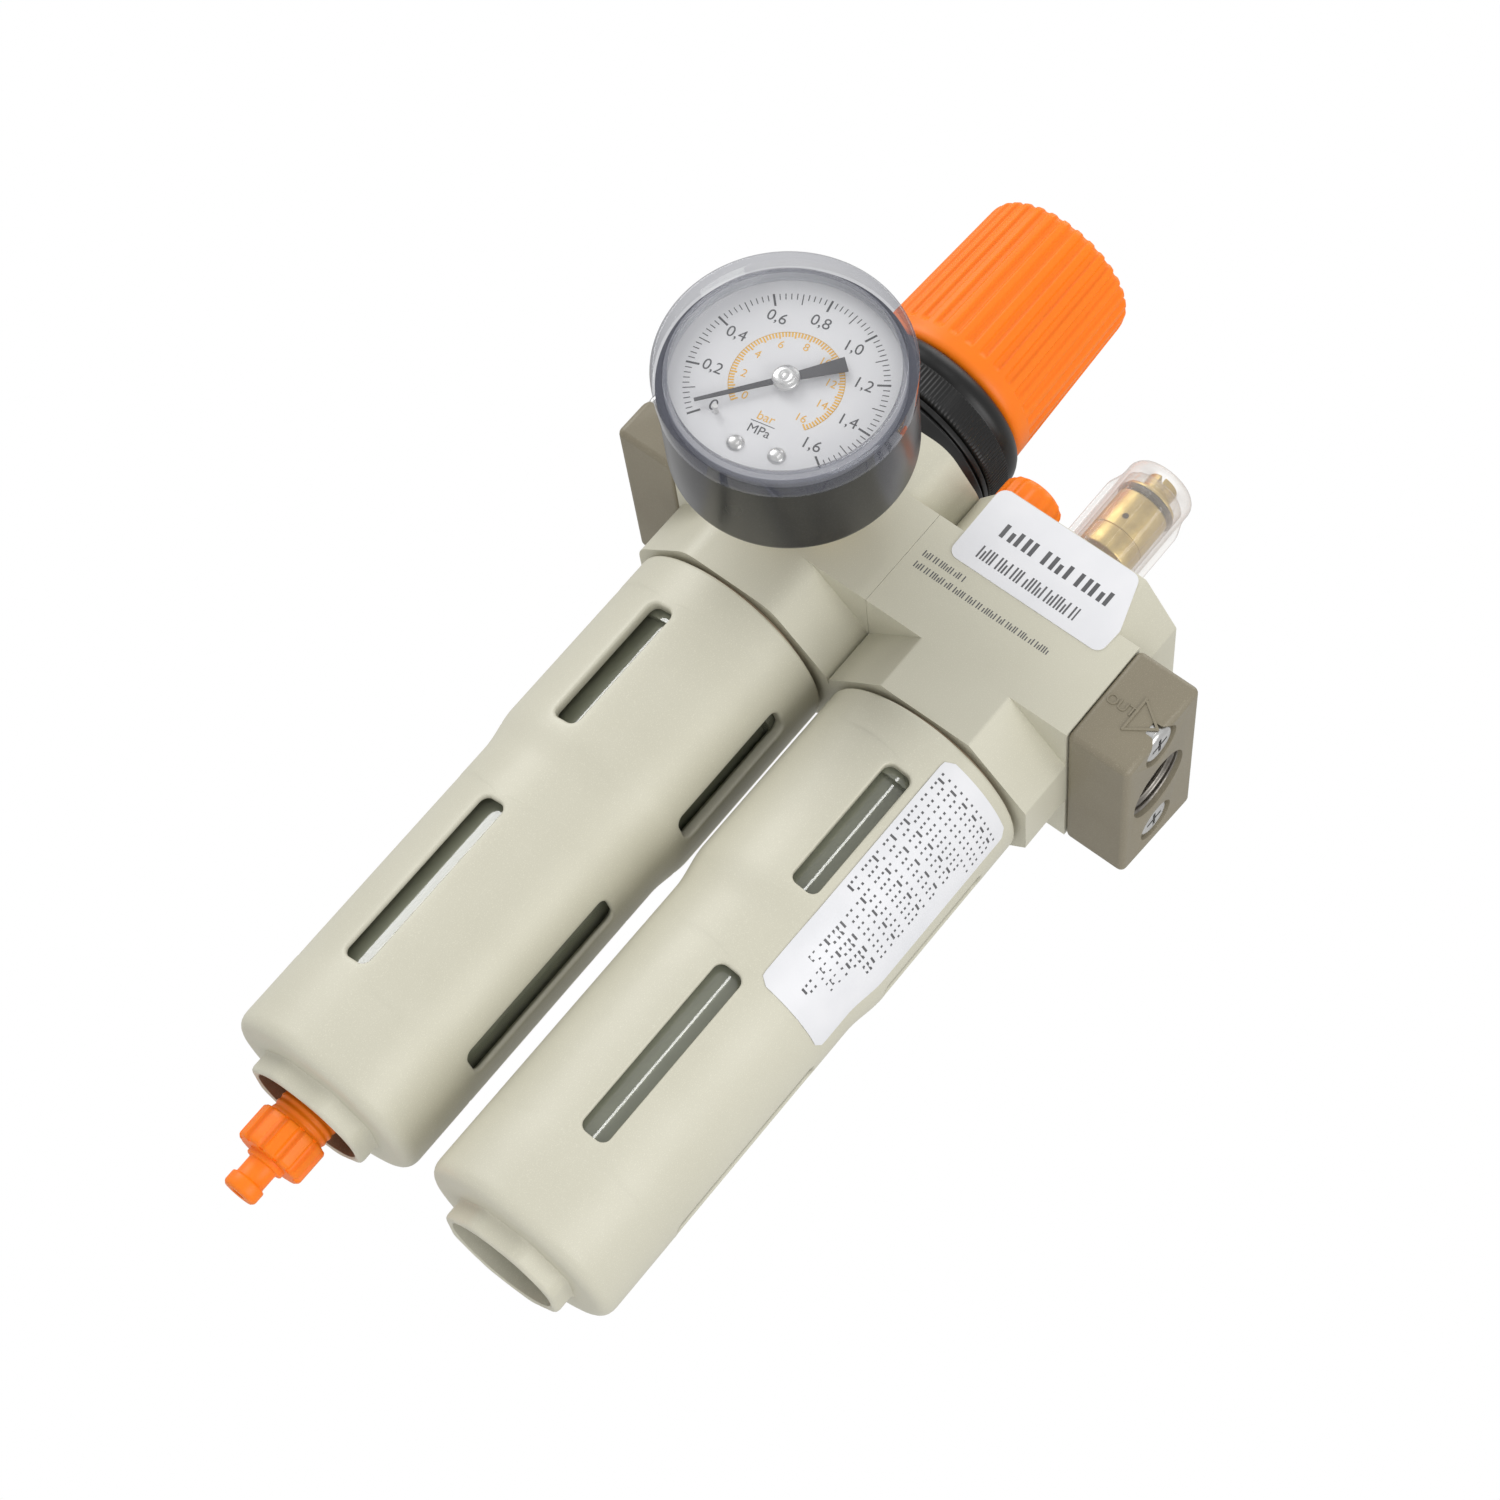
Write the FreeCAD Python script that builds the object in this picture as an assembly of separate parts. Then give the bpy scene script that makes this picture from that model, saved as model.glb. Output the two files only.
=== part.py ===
import FreeCAD, Part
import math
import os

# Compressed-air service unit: a filter regulator and a lubricator in a row, with a port plate
# at each end. X runs with the air, from the inlet mouth (X = 0) to the outlet mouth, Y runs
# from the front (negative, gauge side) to the back, Z is up. The origin is the centre of the
# inlet mouth. Everything is in millimetres.

# --- The row of modules ---
module_width = 40.0
plate_thickness = 12.0
front_depth = 17.6          # bowl axis to the flat front face
back_low = 19.8             # bowl axis to the rear face, at the block's lower edge
back_high = 23.2            # the same at the block's upper edge: the rear face leans back
block_top = 10.4            # port axis to the top of the plain block
block_drop = 9.0            # port axis down to the underside of the plain block
neck_top = 20.8             # port axis to the top of the upper boss
skirt_drop = 19.6           # port axis down to the end of the lower boss
neck_cut_x = 6.4            # corner flats of the upper boss
neck_cut_y = 9.1
skirt_cut = 11.2            # corner flats of the lower boss
corner_round = 6.0          # rounding of the filter regulator's boss corners
edge_round = 1.2            # rounded edges of the port plates

# --- Air ports and the screws through the port plates ---
port_radius = 6.58          # major radius of a G1/4 thread
port_depth = 10.5
passage_radius = 5.0
screw_offset = 13.8
screw_radius = 2.0
screw_reach = 8.0           # length of thread in the housing
head_radius = 3.6
head_height = 2.2
recess_radius = 4.0
recess_depth = 2.5
seal_radius = 7.2
seal_groove = 1.3

# --- Bowls and guards, the same on both modules ---
bowl_bore = 14.6            # sealing bore inside the threaded spigot
spigot_wall = 1.9
spigot_length = 9.0
chamber_height = 14.0       # port axis down to the roof of the bowl bore
thread_gap = 0.1            # radial clearance of every thread that turns
sliding_gap = 0.2
guard_gap = 1.0             # open joint between boss and guard
guard_upper_wall = 2.1      # guard's wall outside its thread
guard_step = 1.0            # how far the upper part stands out beyond the lower
guard_wall = 2.1
guard_step_top = 55.2       # depths below the port axis
guard_step_bottom = 61.6
guard_shoulder = 115.8
guard_boss_top = 122.4
guard_end = 126.2
guard_mouth_gap = 2.4       # bowl's drain boss to the guard's mouth
guard_flat_depth = 0.55
guard_boss_wall = 1.5
slot_width = 5.0
slot_corner = 1.4
upper_slot = (29.4, 54.5)
lower_slot = (71.3, 105.0)
filter_slot_turn = -106.0   # angle of the first of four slots, from +X
lubricator_slot_turn = -80.0
bowl_wall = 2.0
bowl_gap = 0.5              # bowl to guard
neck_height = 7.6
flange_height = 2.0
bowl_ring_wire = 0.75
bowl_ring_drop = 3.4        # neck top down to the middle of the O-ring groove
bowl_end = 117.5

# --- Drain ---
drain_radius = 5.1
drain_boss_wall = 2.2
drain_boss_low = 120.5
drain_boss_high = 112.8
drain_top = 111.6
drain_knob_radius = 6.1
drain_knob_top = 128.6
drain_knob_end = 135.1
drain_ribs = 12
drain_barb_radius = 3.05
drain_end = 142.0
drain_bore = 1.2
drain_ring_wire = 0.45

# --- Filter ---
guide_radius = 8.0
guide_wall = 1.2
guide_end = 26.0
inlet_chamber = 10.5
element_gap = 2.0           # bowl's neck to the filter element
element_wall = 3.2
element_length = 28.5
flange_thickness = 1.5
baffle_gap = 0.9            # bowl's wall to the baffle
stud_radius = 1.85
vane_count = 10

# --- Regulator ---
seat_radius = 4.2
web_low = 2.5
web_high = 7.0
outlet_chamber = 11.0
poppet_radius = 5.8
poppet_height = 1.8
poppet_travel = 0.8
seat_gap = 0.1
stem_radius = 1.5
tail_radius = 2.0
tail_length = 9.6
guide_floor = 6.0           # port axis down to the underside of the guide's floor
guide_floor_height = 1.5
diaphragm_seat = 14.5
diaphragm_rim = 1.0
bonnet_thread = 15.9        # radius of the bonnet's screwed skirt
bonnet_flange_radius = 18.5
bonnet_flange_height = 3.2
bonnet_groove_radius = 17.2
bonnet_groove_height = 0.7
bonnet_step_radius = 17.9
bonnet_step_height = 1.1
panel_thread = 15.0         # M30 x 1.5 thread for a panel nut
bonnet_tube_radius = 12.6
bonnet_cavity = 11.2
bonnet_top = 59.5
bonnet_roof = 2.5
key_width = 2.0
key_depth = 1.0
nut_radius = 18.0
nut_collar_radius = 17.8
nut_knurl_height = 5.2
nut_height = 9.3
nut_gap = 0.3
nut_cone_width = 1.2
nut_cone_height = 2.2
knob_bottom = 36.0
knob_top = 69.8
knob_foot_radius = 16.0
knob_rim_radius = 14.7
knob_wall = 1.4
knob_roof = 2.0
knob_flutes = 32
flute_radius = 0.75
flute_start = 3.4
knob_lift = 2.5
knob_hub_radius = 6.0
hex_flats = 5.2
hex_gap = 0.12
spindle_radius = 3.0
spindle_collar = 5.0
spindle_end = 30.5
plate_high = 52.0           # spring plate at rest, spring slack
plate_height = 4.0
plate_boss = 5.0
plate_boss_drop = 4.0
spring_radius = 8.0
spring_wire = 1.1
spring_turns = 6.0
spring_plate_travel = 12.0
disc_radius = 9.7
disc_height = 2.0
valve_spring_radius = 3.7
valve_spring_wire = 0.35
valve_spring_turns = 4.0

# --- Pressure gauge ---
gauge_z = -0.6
gauge_radius = 20.5
gauge_standoff = 18.3       # block front to the back of the case
case_radius = 20.1
case_wall = 1.3
case_depth = 17.1
lens_depth = 4.75
lens_glass = 1.4
lens_recess = 1.15
dial_depth = 16.5           # case back to the printed face of the dial
dial_radius = 18.5
dial_sheet = 0.5
gauge_thread = 4.86         # major radius of a G1/8 thread
gauge_port_depth = 5.4
wrench_flats = 12.0
gauge_twist = 12.0          # how far the gauge is turned on its thread, seen from the front
pointer_angle = -128.0      # pointer at rest, from +X, seen from the front
pointer_length = 14.5
pointer_tail = 9.5
pointer_hub = 2.2
pointer_shaft = 0.6
shaft_gap = 0.06
stop_radius = 11.8
stop_angle = -117.0
rivet_radius = 13.2
rivet_spread = 15.0
rivet_turn = 5.0
rivet_head = 1.45
pinion_radius = 1.2
sector_radius = 8.0
sector_gap = 0.1
sector_half_angle = 27.0
sector_rest = 20.0          # how far the sector stands to one side of the pinion at rest
tube_radius = 14.6
tube_thick = 1.6
tube_width = 5.0

# --- Lubricator head ---
dome_foot = 6.5
dome_foot_length = 5.6
dome_washer = 0.6
dome_flange = 8.0
dome_flange_height = 1.2
dome_radius = 6.4
dome_fin_radius = 7.4
dome_fin_width = 1.8
dome_fins = 6
dome_fin_turn = 15.0
dome_fin_top = 42.6
dome_fin_slope = 3.6
dome_bore = 5.6
dome_top = 45.6
dome_inside_top = 42.8
dome_round = 2.0
needle_head = 2.8
needle_body = 5.0
needle_body_low = 27.5
needle_ring_low = 39.2
needle_ring_height = 1.4
needle_cap_height = 0.6
needle_neck = 3.2
needle_neck_low = 22.0
needle_tip = 0.9
needle_tip_low = 17.0
needle_ring_wire = 0.55
seat_insert_low = 15.4
seat_insert_high = 26.0
seat_insert_bore_low = 20.5
drip_bore = 1.2
plug_x = -13.0              # filler plug, from the lubricator's axis
plug_y = -7.2
plug_head = 5.6
plug_head_height = 6.4
plug_shank = 3.4
plug_shank_length = 8.6
plug_ribs = 10
plug_ring_wire = 0.5
filler_hole = 1.4
riser_inset = 5.7           # bowl's wall to the middle of the oil riser
riser_radius = 1.1
siphon_radius = 2.0
siphon_bore = 1.2
siphon_socket = 4.6
siphon_end = 111.6
siphon_foot_radius = 3.4
siphon_foot_height = 8.0
ball_radius = 1.5
ball_gap = 0.1
ball_travel = 2.0
flap_x = -3.0
flap_pin_z = 5.2
flap_pin_radius = 0.6
flap_radius = 4.3
flap_thickness = 0.8

# --- Labels ---
label_thickness = 0.2
label_low = 5.6
label_left = 5.2            # from the lubricator's left face
label_right = 35.5
guard_label_start = -67.0
guard_label_sweep = 57.0
guard_label_top = 23.0
guard_label_bottom = 70.0

# --- Places worked out from the sizes above ---
filter_x = plate_thickness + module_width / 2
lubricator_x = filter_x + module_width
joint_x = plate_thickness + module_width
outlet_start = plate_thickness + 2 * module_width
outlet_mouth = outlet_start + plate_thickness
half_module = module_width / 2
spigot_radius = bowl_bore + spigot_wall
spigot_end = skirt_drop + spigot_length
guard_top = skirt_drop + guard_gap
guard_thread_bore = spigot_radius + thread_gap
bowl_flange_top = spigot_end + sliding_gap
bowl_flange_low = bowl_flange_top + flange_height
guard_ledge = bowl_flange_low + thread_gap
guard_upper_radius = guard_thread_bore + guard_upper_wall
guard_lower_radius = guard_upper_radius - guard_step
guard_mouth = drain_radius + thread_gap + drain_boss_wall + guard_mouth_gap
guard_boss_radius = guard_mouth + guard_boss_wall
guard_boss_flats = guard_boss_radius - guard_flat_depth
guard_inner = guard_lower_radius - guard_wall + sliding_gap
bowl_radius = guard_inner - bowl_gap
bowl_neck = bowl_bore - sliding_gap
bowl_flange_radius = guard_thread_bore - sliding_gap
bowl_neck_top = bowl_flange_top - neck_height
bowl_ring_z = bowl_neck_top + bowl_ring_drop
bowl_inside_end = bowl_end - bowl_wall
bowl_inner = bowl_radius - bowl_wall
bowl_neck_inner = bowl_neck - bowl_wall
element_radius = bowl_neck_inner - element_gap
element_bore = element_radius - element_wall
baffle_radius = bowl_inner - baffle_gap
riser_y = bowl_inner - riser_inset
case_back = -(front_depth + gauge_standoff)
case_front = case_back - case_depth
lens_front = case_front - lens_depth
dial_face = case_back - dial_depth
diaphragm_top = diaphragm_seat + diaphragm_rim
bonnet_shoulder = neck_top + bonnet_flange_height + bonnet_groove_height + bonnet_step_height
nut_low = bonnet_shoulder + nut_gap
nut_high = nut_low + nut_height
plate_boss_low = plate_high - plate_height - plate_boss_drop
spring_low = diaphragm_top + 1.5 + disc_height


def at(x, y, z):
    return FreeCAD.Vector(x, y, z)


def upright(radius, low, high, x=0.0, y=0.0):
    return Part.makeCylinder(radius, high - low, at(x, y, low))


def along(radius, start, stop, y=0.0, z=0.0):
    return Part.makeCylinder(radius, stop - start, at(start, y, z), at(1, 0, 0))


def inward(radius, start, stop, x, z):
    return Part.makeCylinder(radius, stop - start, at(x, start, z), at(0, 1, 0))


def block(x_low, x_high, y_low, y_high, z_low, z_high):
    return Part.makeBox(x_high - x_low, y_high - y_low, z_high - z_low, at(x_low, y_low, z_low))


def tube(outer, inner, low, high, x=0.0, y=0.0):
    return upright(outer, low, high, x, y).cut(upright(inner, low - 1, high + 1, x, y))


def turned(outline, x=0.0, y=0.0):
    """Solid of revolution about the upright axis at x, y, from (radius, height) points."""
    points = [at(x + radius, y, height) for radius, height in outline]
    face = Part.Face(Part.makePolygon(points + points[:1]))
    return face.revolve(at(x, y, 0), at(0, 0, 1), 360)


def turned_front(outline):
    """Solid of revolution about the gauge's axis, from (radius, y) points."""
    points = [at(filter_x + radius, depth, gauge_z) for radius, depth in outline]
    face = Part.Face(Part.makePolygon(points + points[:1]))
    return face.revolve(at(filter_x, 0, gauge_z), at(0, 1, 0), 360)


def prism(points, low, high):
    corners = [at(x, y, low) for x, y in points]
    face = Part.Face(Part.makePolygon(corners + corners[:1]))
    return face.extrude(at(0, 0, high - low))


def ring(radius, wire, z, x=0.0, y=0.0):
    return Part.makeTorus(radius, wire, at(x, y, z))


def coil(radius, wire, low, high, turns, x):
    """Helical spring whose wire lies wholly between low and high."""
    height = high - low - 2 * wire
    helix = Part.makeHelix(height / turns, height, radius)
    circle = Part.makeCircle(wire, at(radius, 0, 0), at(0, 1, 0))
    spring = Part.Wire(helix).makePipeShell([Part.Wire(circle)], True, True)
    spring.translate(at(x, 0, low + wire))
    return spring


def repeated(shape, count, x, y=0.0):
    copies = []
    for index in range(count):
        copy = shape.copy()
        copy.rotate(at(x, y, 0), at(0, 0, 1), 360.0 * index / count)
        copies.append(copy)
    return copies


def upright_edges(shape):
    found = []
    for edge in shape.Edges:
        span = edge.BoundBox
        if span.XLength < 0.01 and span.YLength < 0.01:
            found.append(edge)
    return found


def polar(radius, degrees):
    angle = math.radians(degrees)
    return radius * math.cos(angle), radius * math.sin(angle)


def gauge_place(radius, degrees, depth):
    across, up = polar(radius, degrees)
    return at(filter_x + across, depth, gauge_z + up)


def row_section(start, stop):
    """Length of the row's plain block, front face upright and rear face leaning back."""
    corners = [
        at(start, -front_depth, -block_drop),
        at(start, back_low, -block_drop),
        at(start, back_high, block_top),
        at(start, -front_depth, block_top),
    ]
    face = Part.Face(Part.makePolygon(corners + corners[:1]))
    return face.extrude(at(stop - start, 0, 0))


def boss(x, cut_x, cut_y, low, high, rounding):
    """Upright boss as wide as the module, with cut corners, front face flush with the block."""
    right = half_module
    deep = front_depth
    points = [
        (x - right + cut_x, -deep),
        (x + right - cut_x, -deep),
        (x + right, -deep + cut_y),
        (x + right, deep - cut_y),
        (x + right - cut_x, deep),
        (x - right + cut_x, deep),
        (x - right, deep - cut_y),
        (x - right, -deep + cut_y),
    ]
    shape = prism(points, low, high)
    if rounding > 0:
        shape = shape.makeFillet(rounding, upright_edges(shape))
    return shape


def module_body(x, rounding):
    """Outside of one housing: plain block, upper and lower boss and threaded spigot."""
    body = row_section(x - half_module, x + half_module)
    body = body.fuse([
        boss(x, neck_cut_x, neck_cut_y, 0, neck_top, rounding),
        boss(x, skirt_cut, skirt_cut, -skirt_drop, 0, rounding),
        upright(spigot_radius, -spigot_end, -skirt_drop + 1, x),
    ])
    body = body.cut(upright(bowl_bore, -spigot_end - 1, -chamber_height, x))
    body = body.removeSplitter()
    return body


def screw_holes(face_x, direction):
    """The two threaded holes in a module's side face."""
    start = min(face_x, face_x + direction * screw_reach)
    stop = max(face_x, face_x + direction * screw_reach)
    return [along(screw_radius, start, stop, y) for y in (-screw_offset, screw_offset)]


def seal_recess(face_x):
    groove = along(seal_radius + seal_groove / 2, face_x, face_x + seal_groove)
    return groove.cut(along(seal_radius - seal_groove / 2, face_x - 1, face_x + seal_groove + 1))


def make_filter_housing():
    x = filter_x
    body = module_body(x, corner_round)
    riser_x = x + inlet_chamber + 1.5 + 2.0
    gauge_bore_end = -front_depth + gauge_port_depth
    cuts = [
        along(passage_radius, plate_thickness - 1, x - inlet_chamber + 2),
        upright(inlet_chamber, -chamber_height - 1, web_low, x),
        upright(seat_radius, web_low - 1, web_high + 1, x),
        upright(outlet_chamber, web_high, diaphragm_seat + 1, x),
        upright(bonnet_thread, diaphragm_seat, neck_top + 1, x),
        along(passage_radius, riser_x - 1.0, joint_x + 1),
        upright(2.0, 0, web_high + 3.0, riser_x),
        along(2.0, x + outlet_chamber - 2, riser_x, 0, web_high + 3.0),
        inward(gauge_thread, -front_depth - 1, gauge_bore_end, x, gauge_z),
        upright(1.0, gauge_z, web_high + 2.5, x, gauge_bore_end - 1.6),
        inward(1.0, gauge_bore_end - 1.6, -outlet_chamber + 2, x, web_high + 2.5),
        seal_recess(plate_thickness),
    ]
    cuts += screw_holes(plate_thickness, 1)
    cuts += screw_holes(joint_x, -1)
    return body.cut(cuts)


def make_lubricator_housing():
    x = lubricator_x
    body = module_body(x, 0)
    plug_top_x = x + plug_x
    pocket = block(x + flap_x - 1.2, x + flap_x + 4.5, -4.0, 4.0, 2.5, flap_pin_z + 1.2)
    cuts = [
        along(passage_radius, joint_x - 1, outlet_start + 1),
        pocket,
        inward(flap_pin_radius + shaft_gap, -6.0, 6.0, x + flap_x, flap_pin_z),
        upright(dome_foot, neck_top - dome_foot_length, neck_top + 1, x),
        upright(drip_bore, passage_radius - 1, neck_top - dome_foot_length + 1, x),
        upright(plug_shank + thread_gap, neck_top - 9.8, neck_top + 1, plug_top_x, plug_y),
        upright(filler_hole, -chamber_height - 1, neck_top - 9, plug_top_x + 1.6, plug_y - 0.6),
        upright(siphon_radius, -chamber_height - 1, -chamber_height + siphon_socket, x, riser_y),
        upright(riser_radius, -chamber_height, neck_top - dome_foot_length + 1.4, x, riser_y),
        block(x - 0.8, x + 0.8, dome_foot - 1.5, riser_y, neck_top - dome_foot_length,
              neck_top - dome_foot_length + 1.4),
        seal_recess(joint_x),
    ]
    outlet_seal = seal_recess(outlet_start - seal_groove)
    cuts.append(outlet_seal)
    cuts += screw_holes(joint_x, 1)
    cuts += screw_holes(outlet_start, -1)
    return body.cut(cuts)


def make_port_plate(inner_x, outer_x):
    """End plate with the G1/4 port and two counterbored screw holes."""
    low = min(inner_x, outer_x)
    high = max(inner_x, outer_x)
    side = 1 if outer_x > inner_x else -1
    plate = row_section(low, high)
    kept = []
    for edge in plate.Edges:
        if abs(edge.BoundBox.XMin - inner_x) > 0.01 and abs(edge.BoundBox.XMax - inner_x) > 0.01:
            kept.append(edge)
    plate = plate.makeFillet(edge_round, kept)

    def drilled(radius, depth, y=0.0):
        start = outer_x - side * depth
        return along(radius, min(start, outer_x + side), max(start, outer_x + side), y)

    cuts = [drilled(port_radius, port_depth), drilled(passage_radius, plate_thickness + 1)]
    for y in (-screw_offset, screw_offset):
        cuts.append(drilled(recess_radius, recess_depth, y))
        cuts.append(drilled(screw_radius, plate_thickness + 1, y))
    return plate.cut(cuts)


def make_plate_screws():
    """Pan-head screws, two through each port plate into the housing behind it."""
    screws = []
    for inner_x, outer_x in ((plate_thickness, 0.0), (outlet_start, outlet_mouth)):
        side = 1 if outer_x > inner_x else -1
        seat = outer_x - side * recess_depth
        end = inner_x - side * (screw_reach - 0.5)
        for y in (-screw_offset, screw_offset):
            shank = along(screw_radius, min(seat, end), max(seat, end), y)
            crown = seat + side * head_height
            head = along(head_radius, min(seat, crown), max(seat, crown), y)
            head = head.makeFillet(0.9, [e for e in head.Edges if abs(e.BoundBox.XMin - crown) < 0.01
                                         and e.BoundBox.XLength < 0.01])
            cross_low = min(crown - side * 1.3, crown + side)
            cross = block(cross_low, cross_low + 2.3, y - 1.9, y + 1.9, -0.35, 0.35)
            cross = cross.fuse(block(cross_low, cross_low + 2.3, y - 0.35, y + 0.35, -1.9, 1.9))
            screws.append(shank.fuse(head).cut(cross))
    return Part.makeCompound(screws)


def make_module_studs():
    return Part.makeCompound([
        along(screw_radius, joint_x - screw_reach + 0.5, joint_x + screw_reach - 0.5, y)
        for y in (-screw_offset, screw_offset)
    ])


def make_port_seals():
    """O-rings between the plates and housings, each filling its groove."""
    rings = []
    for face_x in (plate_thickness, joint_x, outlet_start - seal_groove):
        middle = face_x + seal_groove / 2
        rings.append(Part.makeTorus(seal_radius, seal_groove / 2 - 0.02, at(middle, 0, 0), at(1, 0, 0)))
    return Part.makeCompound(rings)


def guard_slots(x, turn):
    """Eight sight slots: four round the upper part and four round the lower part."""
    cutters = []
    for top, bottom in (upper_slot, lower_slot):
        slot = block(x + 5, x + guard_upper_radius + 2, -slot_width / 2, slot_width / 2, -bottom, -top)
        flat = [e for e in slot.Edges if e.BoundBox.YLength < 0.01 and e.BoundBox.ZLength < 0.01]
        slot = slot.makeFillet(slot_corner, flat)
        slot.rotate(at(x, 0, 0), at(0, 0, 1), turn)
        cutters += repeated(slot, 4, x)
    return cutters


def make_guard(x, turn):
    """Metal guard round the bowl, screwed on the housing's spigot."""
    step = guard_boss_top - guard_shoulder
    run = (guard_lower_radius - guard_boss_radius - 0.13) / 0.95
    inner_turn = guard_wall * 1.2
    outline = [
        (guard_thread_bore, -guard_top),
        (guard_upper_radius, -guard_top),
        (guard_upper_radius, -guard_step_top),
        (guard_lower_radius, -guard_step_bottom),
        (guard_lower_radius, -guard_shoulder),
        (guard_lower_radius - 0.10 * run, -guard_shoulder - 0.38 * step),
        (guard_lower_radius - 0.30 * run, -guard_shoulder - 0.68 * step),
        (guard_lower_radius - 0.60 * run, -guard_shoulder - 0.90 * step),
        (guard_lower_radius - 0.95 * run, -guard_boss_top),
        (guard_boss_radius, -guard_boss_top),
        (guard_boss_radius, -guard_end + 0.5),
        (guard_boss_radius - 0.5, -guard_end),
        (guard_mouth, -guard_end),
        (guard_mouth, -guard_boss_top + inner_turn),
        (guard_inner - 2.5, -guard_shoulder - 1.2),
        (guard_inner, -guard_shoulder + 1.5),
        (guard_inner, -guard_ledge),
        (guard_thread_bore, -guard_ledge),
    ]
    guard = turned(outline, x)
    flats = []
    for index in range(8):
        flat = block(x + guard_boss_flats, x + guard_boss_radius + 1, -9, 9, -guard_end - 1,
                     -guard_boss_top - 0.3)
        flat.rotate(at(x, 0, 0), at(0, 0, 1), 45.0 * index + 22.5)
        flats.append(flat)
    return guard.cut(flats + guard_slots(x, turn))


def bowl_outline(closed):
    """Clear bowl: sealed neck, clamped flange, long body and rounded end."""
    inner = bowl_inner
    neck_inner = bowl_neck_inner
    groove = bowl_bore - 2 * bowl_ring_wire - 0.1
    half = bowl_ring_wire + 0.25
    outline = [
        (neck_inner, -bowl_neck_top),
        (bowl_neck, -bowl_neck_top),
        (bowl_neck, -bowl_ring_z + half),
        (groove, -bowl_ring_z + half),
        (groove, -bowl_ring_z - half),
        (bowl_neck, -bowl_ring_z - half),
        (bowl_neck, -bowl_flange_top),
        (bowl_flange_radius, -bowl_flange_top),
        (bowl_flange_radius, -bowl_flange_low),
        (bowl_radius, -bowl_flange_low),
        (bowl_radius, -bowl_end + 9.0),
        (bowl_radius - 1.2, -bowl_end + 5.0),
        (bowl_radius - 3.8, -bowl_end + 2.0),
        (bowl_radius - 7.2, -bowl_end),
    ]
    if closed:
        outline += [(0, -bowl_end), (0, -bowl_inside_end)]
    else:
        outline += [(drain_radius, -bowl_end), (drain_radius, -bowl_inside_end)]
    outline += [
        (inner - 6.2, -bowl_inside_end),
        (inner - 3.0, -bowl_inside_end + 2.0),
        (inner - 0.9, -bowl_inside_end + 4.8),
        (inner, -bowl_inside_end + 8.0),
        (inner, -bowl_flange_low - 1.0),
        (neck_inner, -bowl_flange_low + 0.6),
    ]
    return outline


def make_filter_bowl():
    bowl = turned(bowl_outline(False), filter_x)
    bore = drain_radius + thread_gap
    drain_boss = upright(bore + drain_boss_wall, -drain_boss_low, -drain_boss_high, filter_x)
    return bowl.fuse(drain_boss).cut(upright(bore, -drain_boss_low - 1, -drain_boss_high + 1, filter_x))


def make_bowl_seal(x):
    return ring(bowl_bore - bowl_ring_wire - 0.05, bowl_ring_wire, -bowl_ring_z, x)


def make_drain_screw():
    x = filter_x
    ring_z = -drain_boss_high - 2.2
    groove = drain_radius - 2 * drain_ring_wire + 0.05
    half = drain_ring_wire + 0.15
    barb_low = drain_barb_radius - 0.5
    outline = [
        (drain_bore, -drain_top),
        (drain_radius - 0.6, -drain_top),
        (drain_radius, -drain_top - 0.6),
        (drain_radius, ring_z + half),
        (groove, ring_z + half),
        (groove, ring_z - half),
        (drain_radius, ring_z - half),
        (drain_radius, -drain_knob_top + 0.1),
        (drain_knob_radius, -drain_knob_top),
        (drain_knob_radius, -drain_knob_end),
        (drain_barb_radius + 0.3, -drain_knob_end),
        (drain_barb_radius + 0.3, -drain_knob_end - 0.9),
        (barb_low, -drain_knob_end - 1.2),
        (barb_low, -drain_end + 2.7),
        (drain_barb_radius, -drain_end + 2.4),
        (drain_barb_radius, -drain_end + 0.5),
        (drain_barb_radius - 0.5, -drain_end),
        (drain_bore, -drain_end),
    ]
    screw = turned(outline, x)
    flute = upright(0.85, -drain_knob_end - 1, -drain_knob_top + 1, x + drain_knob_radius + 0.25)
    return screw.cut(repeated(flute, drain_ribs, x))


def make_drain_seal():
    ring_z = -drain_boss_high - 2.2
    return ring(drain_radius + thread_gap - drain_ring_wire - 0.05, drain_ring_wire, ring_z, filter_x)


def make_valve_guide():
    """Tube under the valve seat that guides the poppet and carries the filter element."""
    x = filter_x
    inner = guide_radius - guide_wall
    shape = tube(guide_radius, inner, -guide_end, web_low - 0.05, x)
    floor = upright(inner + 0.2, -guide_floor, -guide_floor + guide_floor_height, x)
    holder = upright(inner + 0.2, -guide_end, -guide_end + 3, x)
    flange = tube(element_radius, inner, -guide_end - flange_thickness, -guide_end, x)
    shape = shape.fuse([floor, holder, flange])
    cuts = [
        upright(tail_radius + shaft_gap, -guide_floor - 1, -guide_floor + 3, x),
        upright(stud_radius, -guide_end - 1, -guide_end + 4, x),
    ]
    windows = repeated(upright(1.2, -guide_end - 1, -guide_floor + 3, x + 4.7), 6, x)
    return shape.cut(cuts + windows)


def make_swirl_vane():
    """Ring of slanted blades that spins the incoming air round the bowl."""
    x = filter_x
    low = -chamber_height - 6.0
    high = -chamber_height - 1.0
    band = bowl_bore - 0.8
    hub = tube(guide_radius + 1.4, guide_radius + 0.05, low, high, x)
    rim = tube(band, band - 0.9, low, high, x)
    blade = block(x + guide_radius + 1.0, x + band - 0.5, -0.5, 0.5, low - 1.2, high + 1.2)
    blade.rotate(at(x + 10, 0, (low + high) / 2), at(1, 0, 0), 38)
    blade = blade.common(block(x, x + 20, -5, 5, low, high))
    return hub.fuse([rim] + repeated(blade, vane_count, x))


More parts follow.
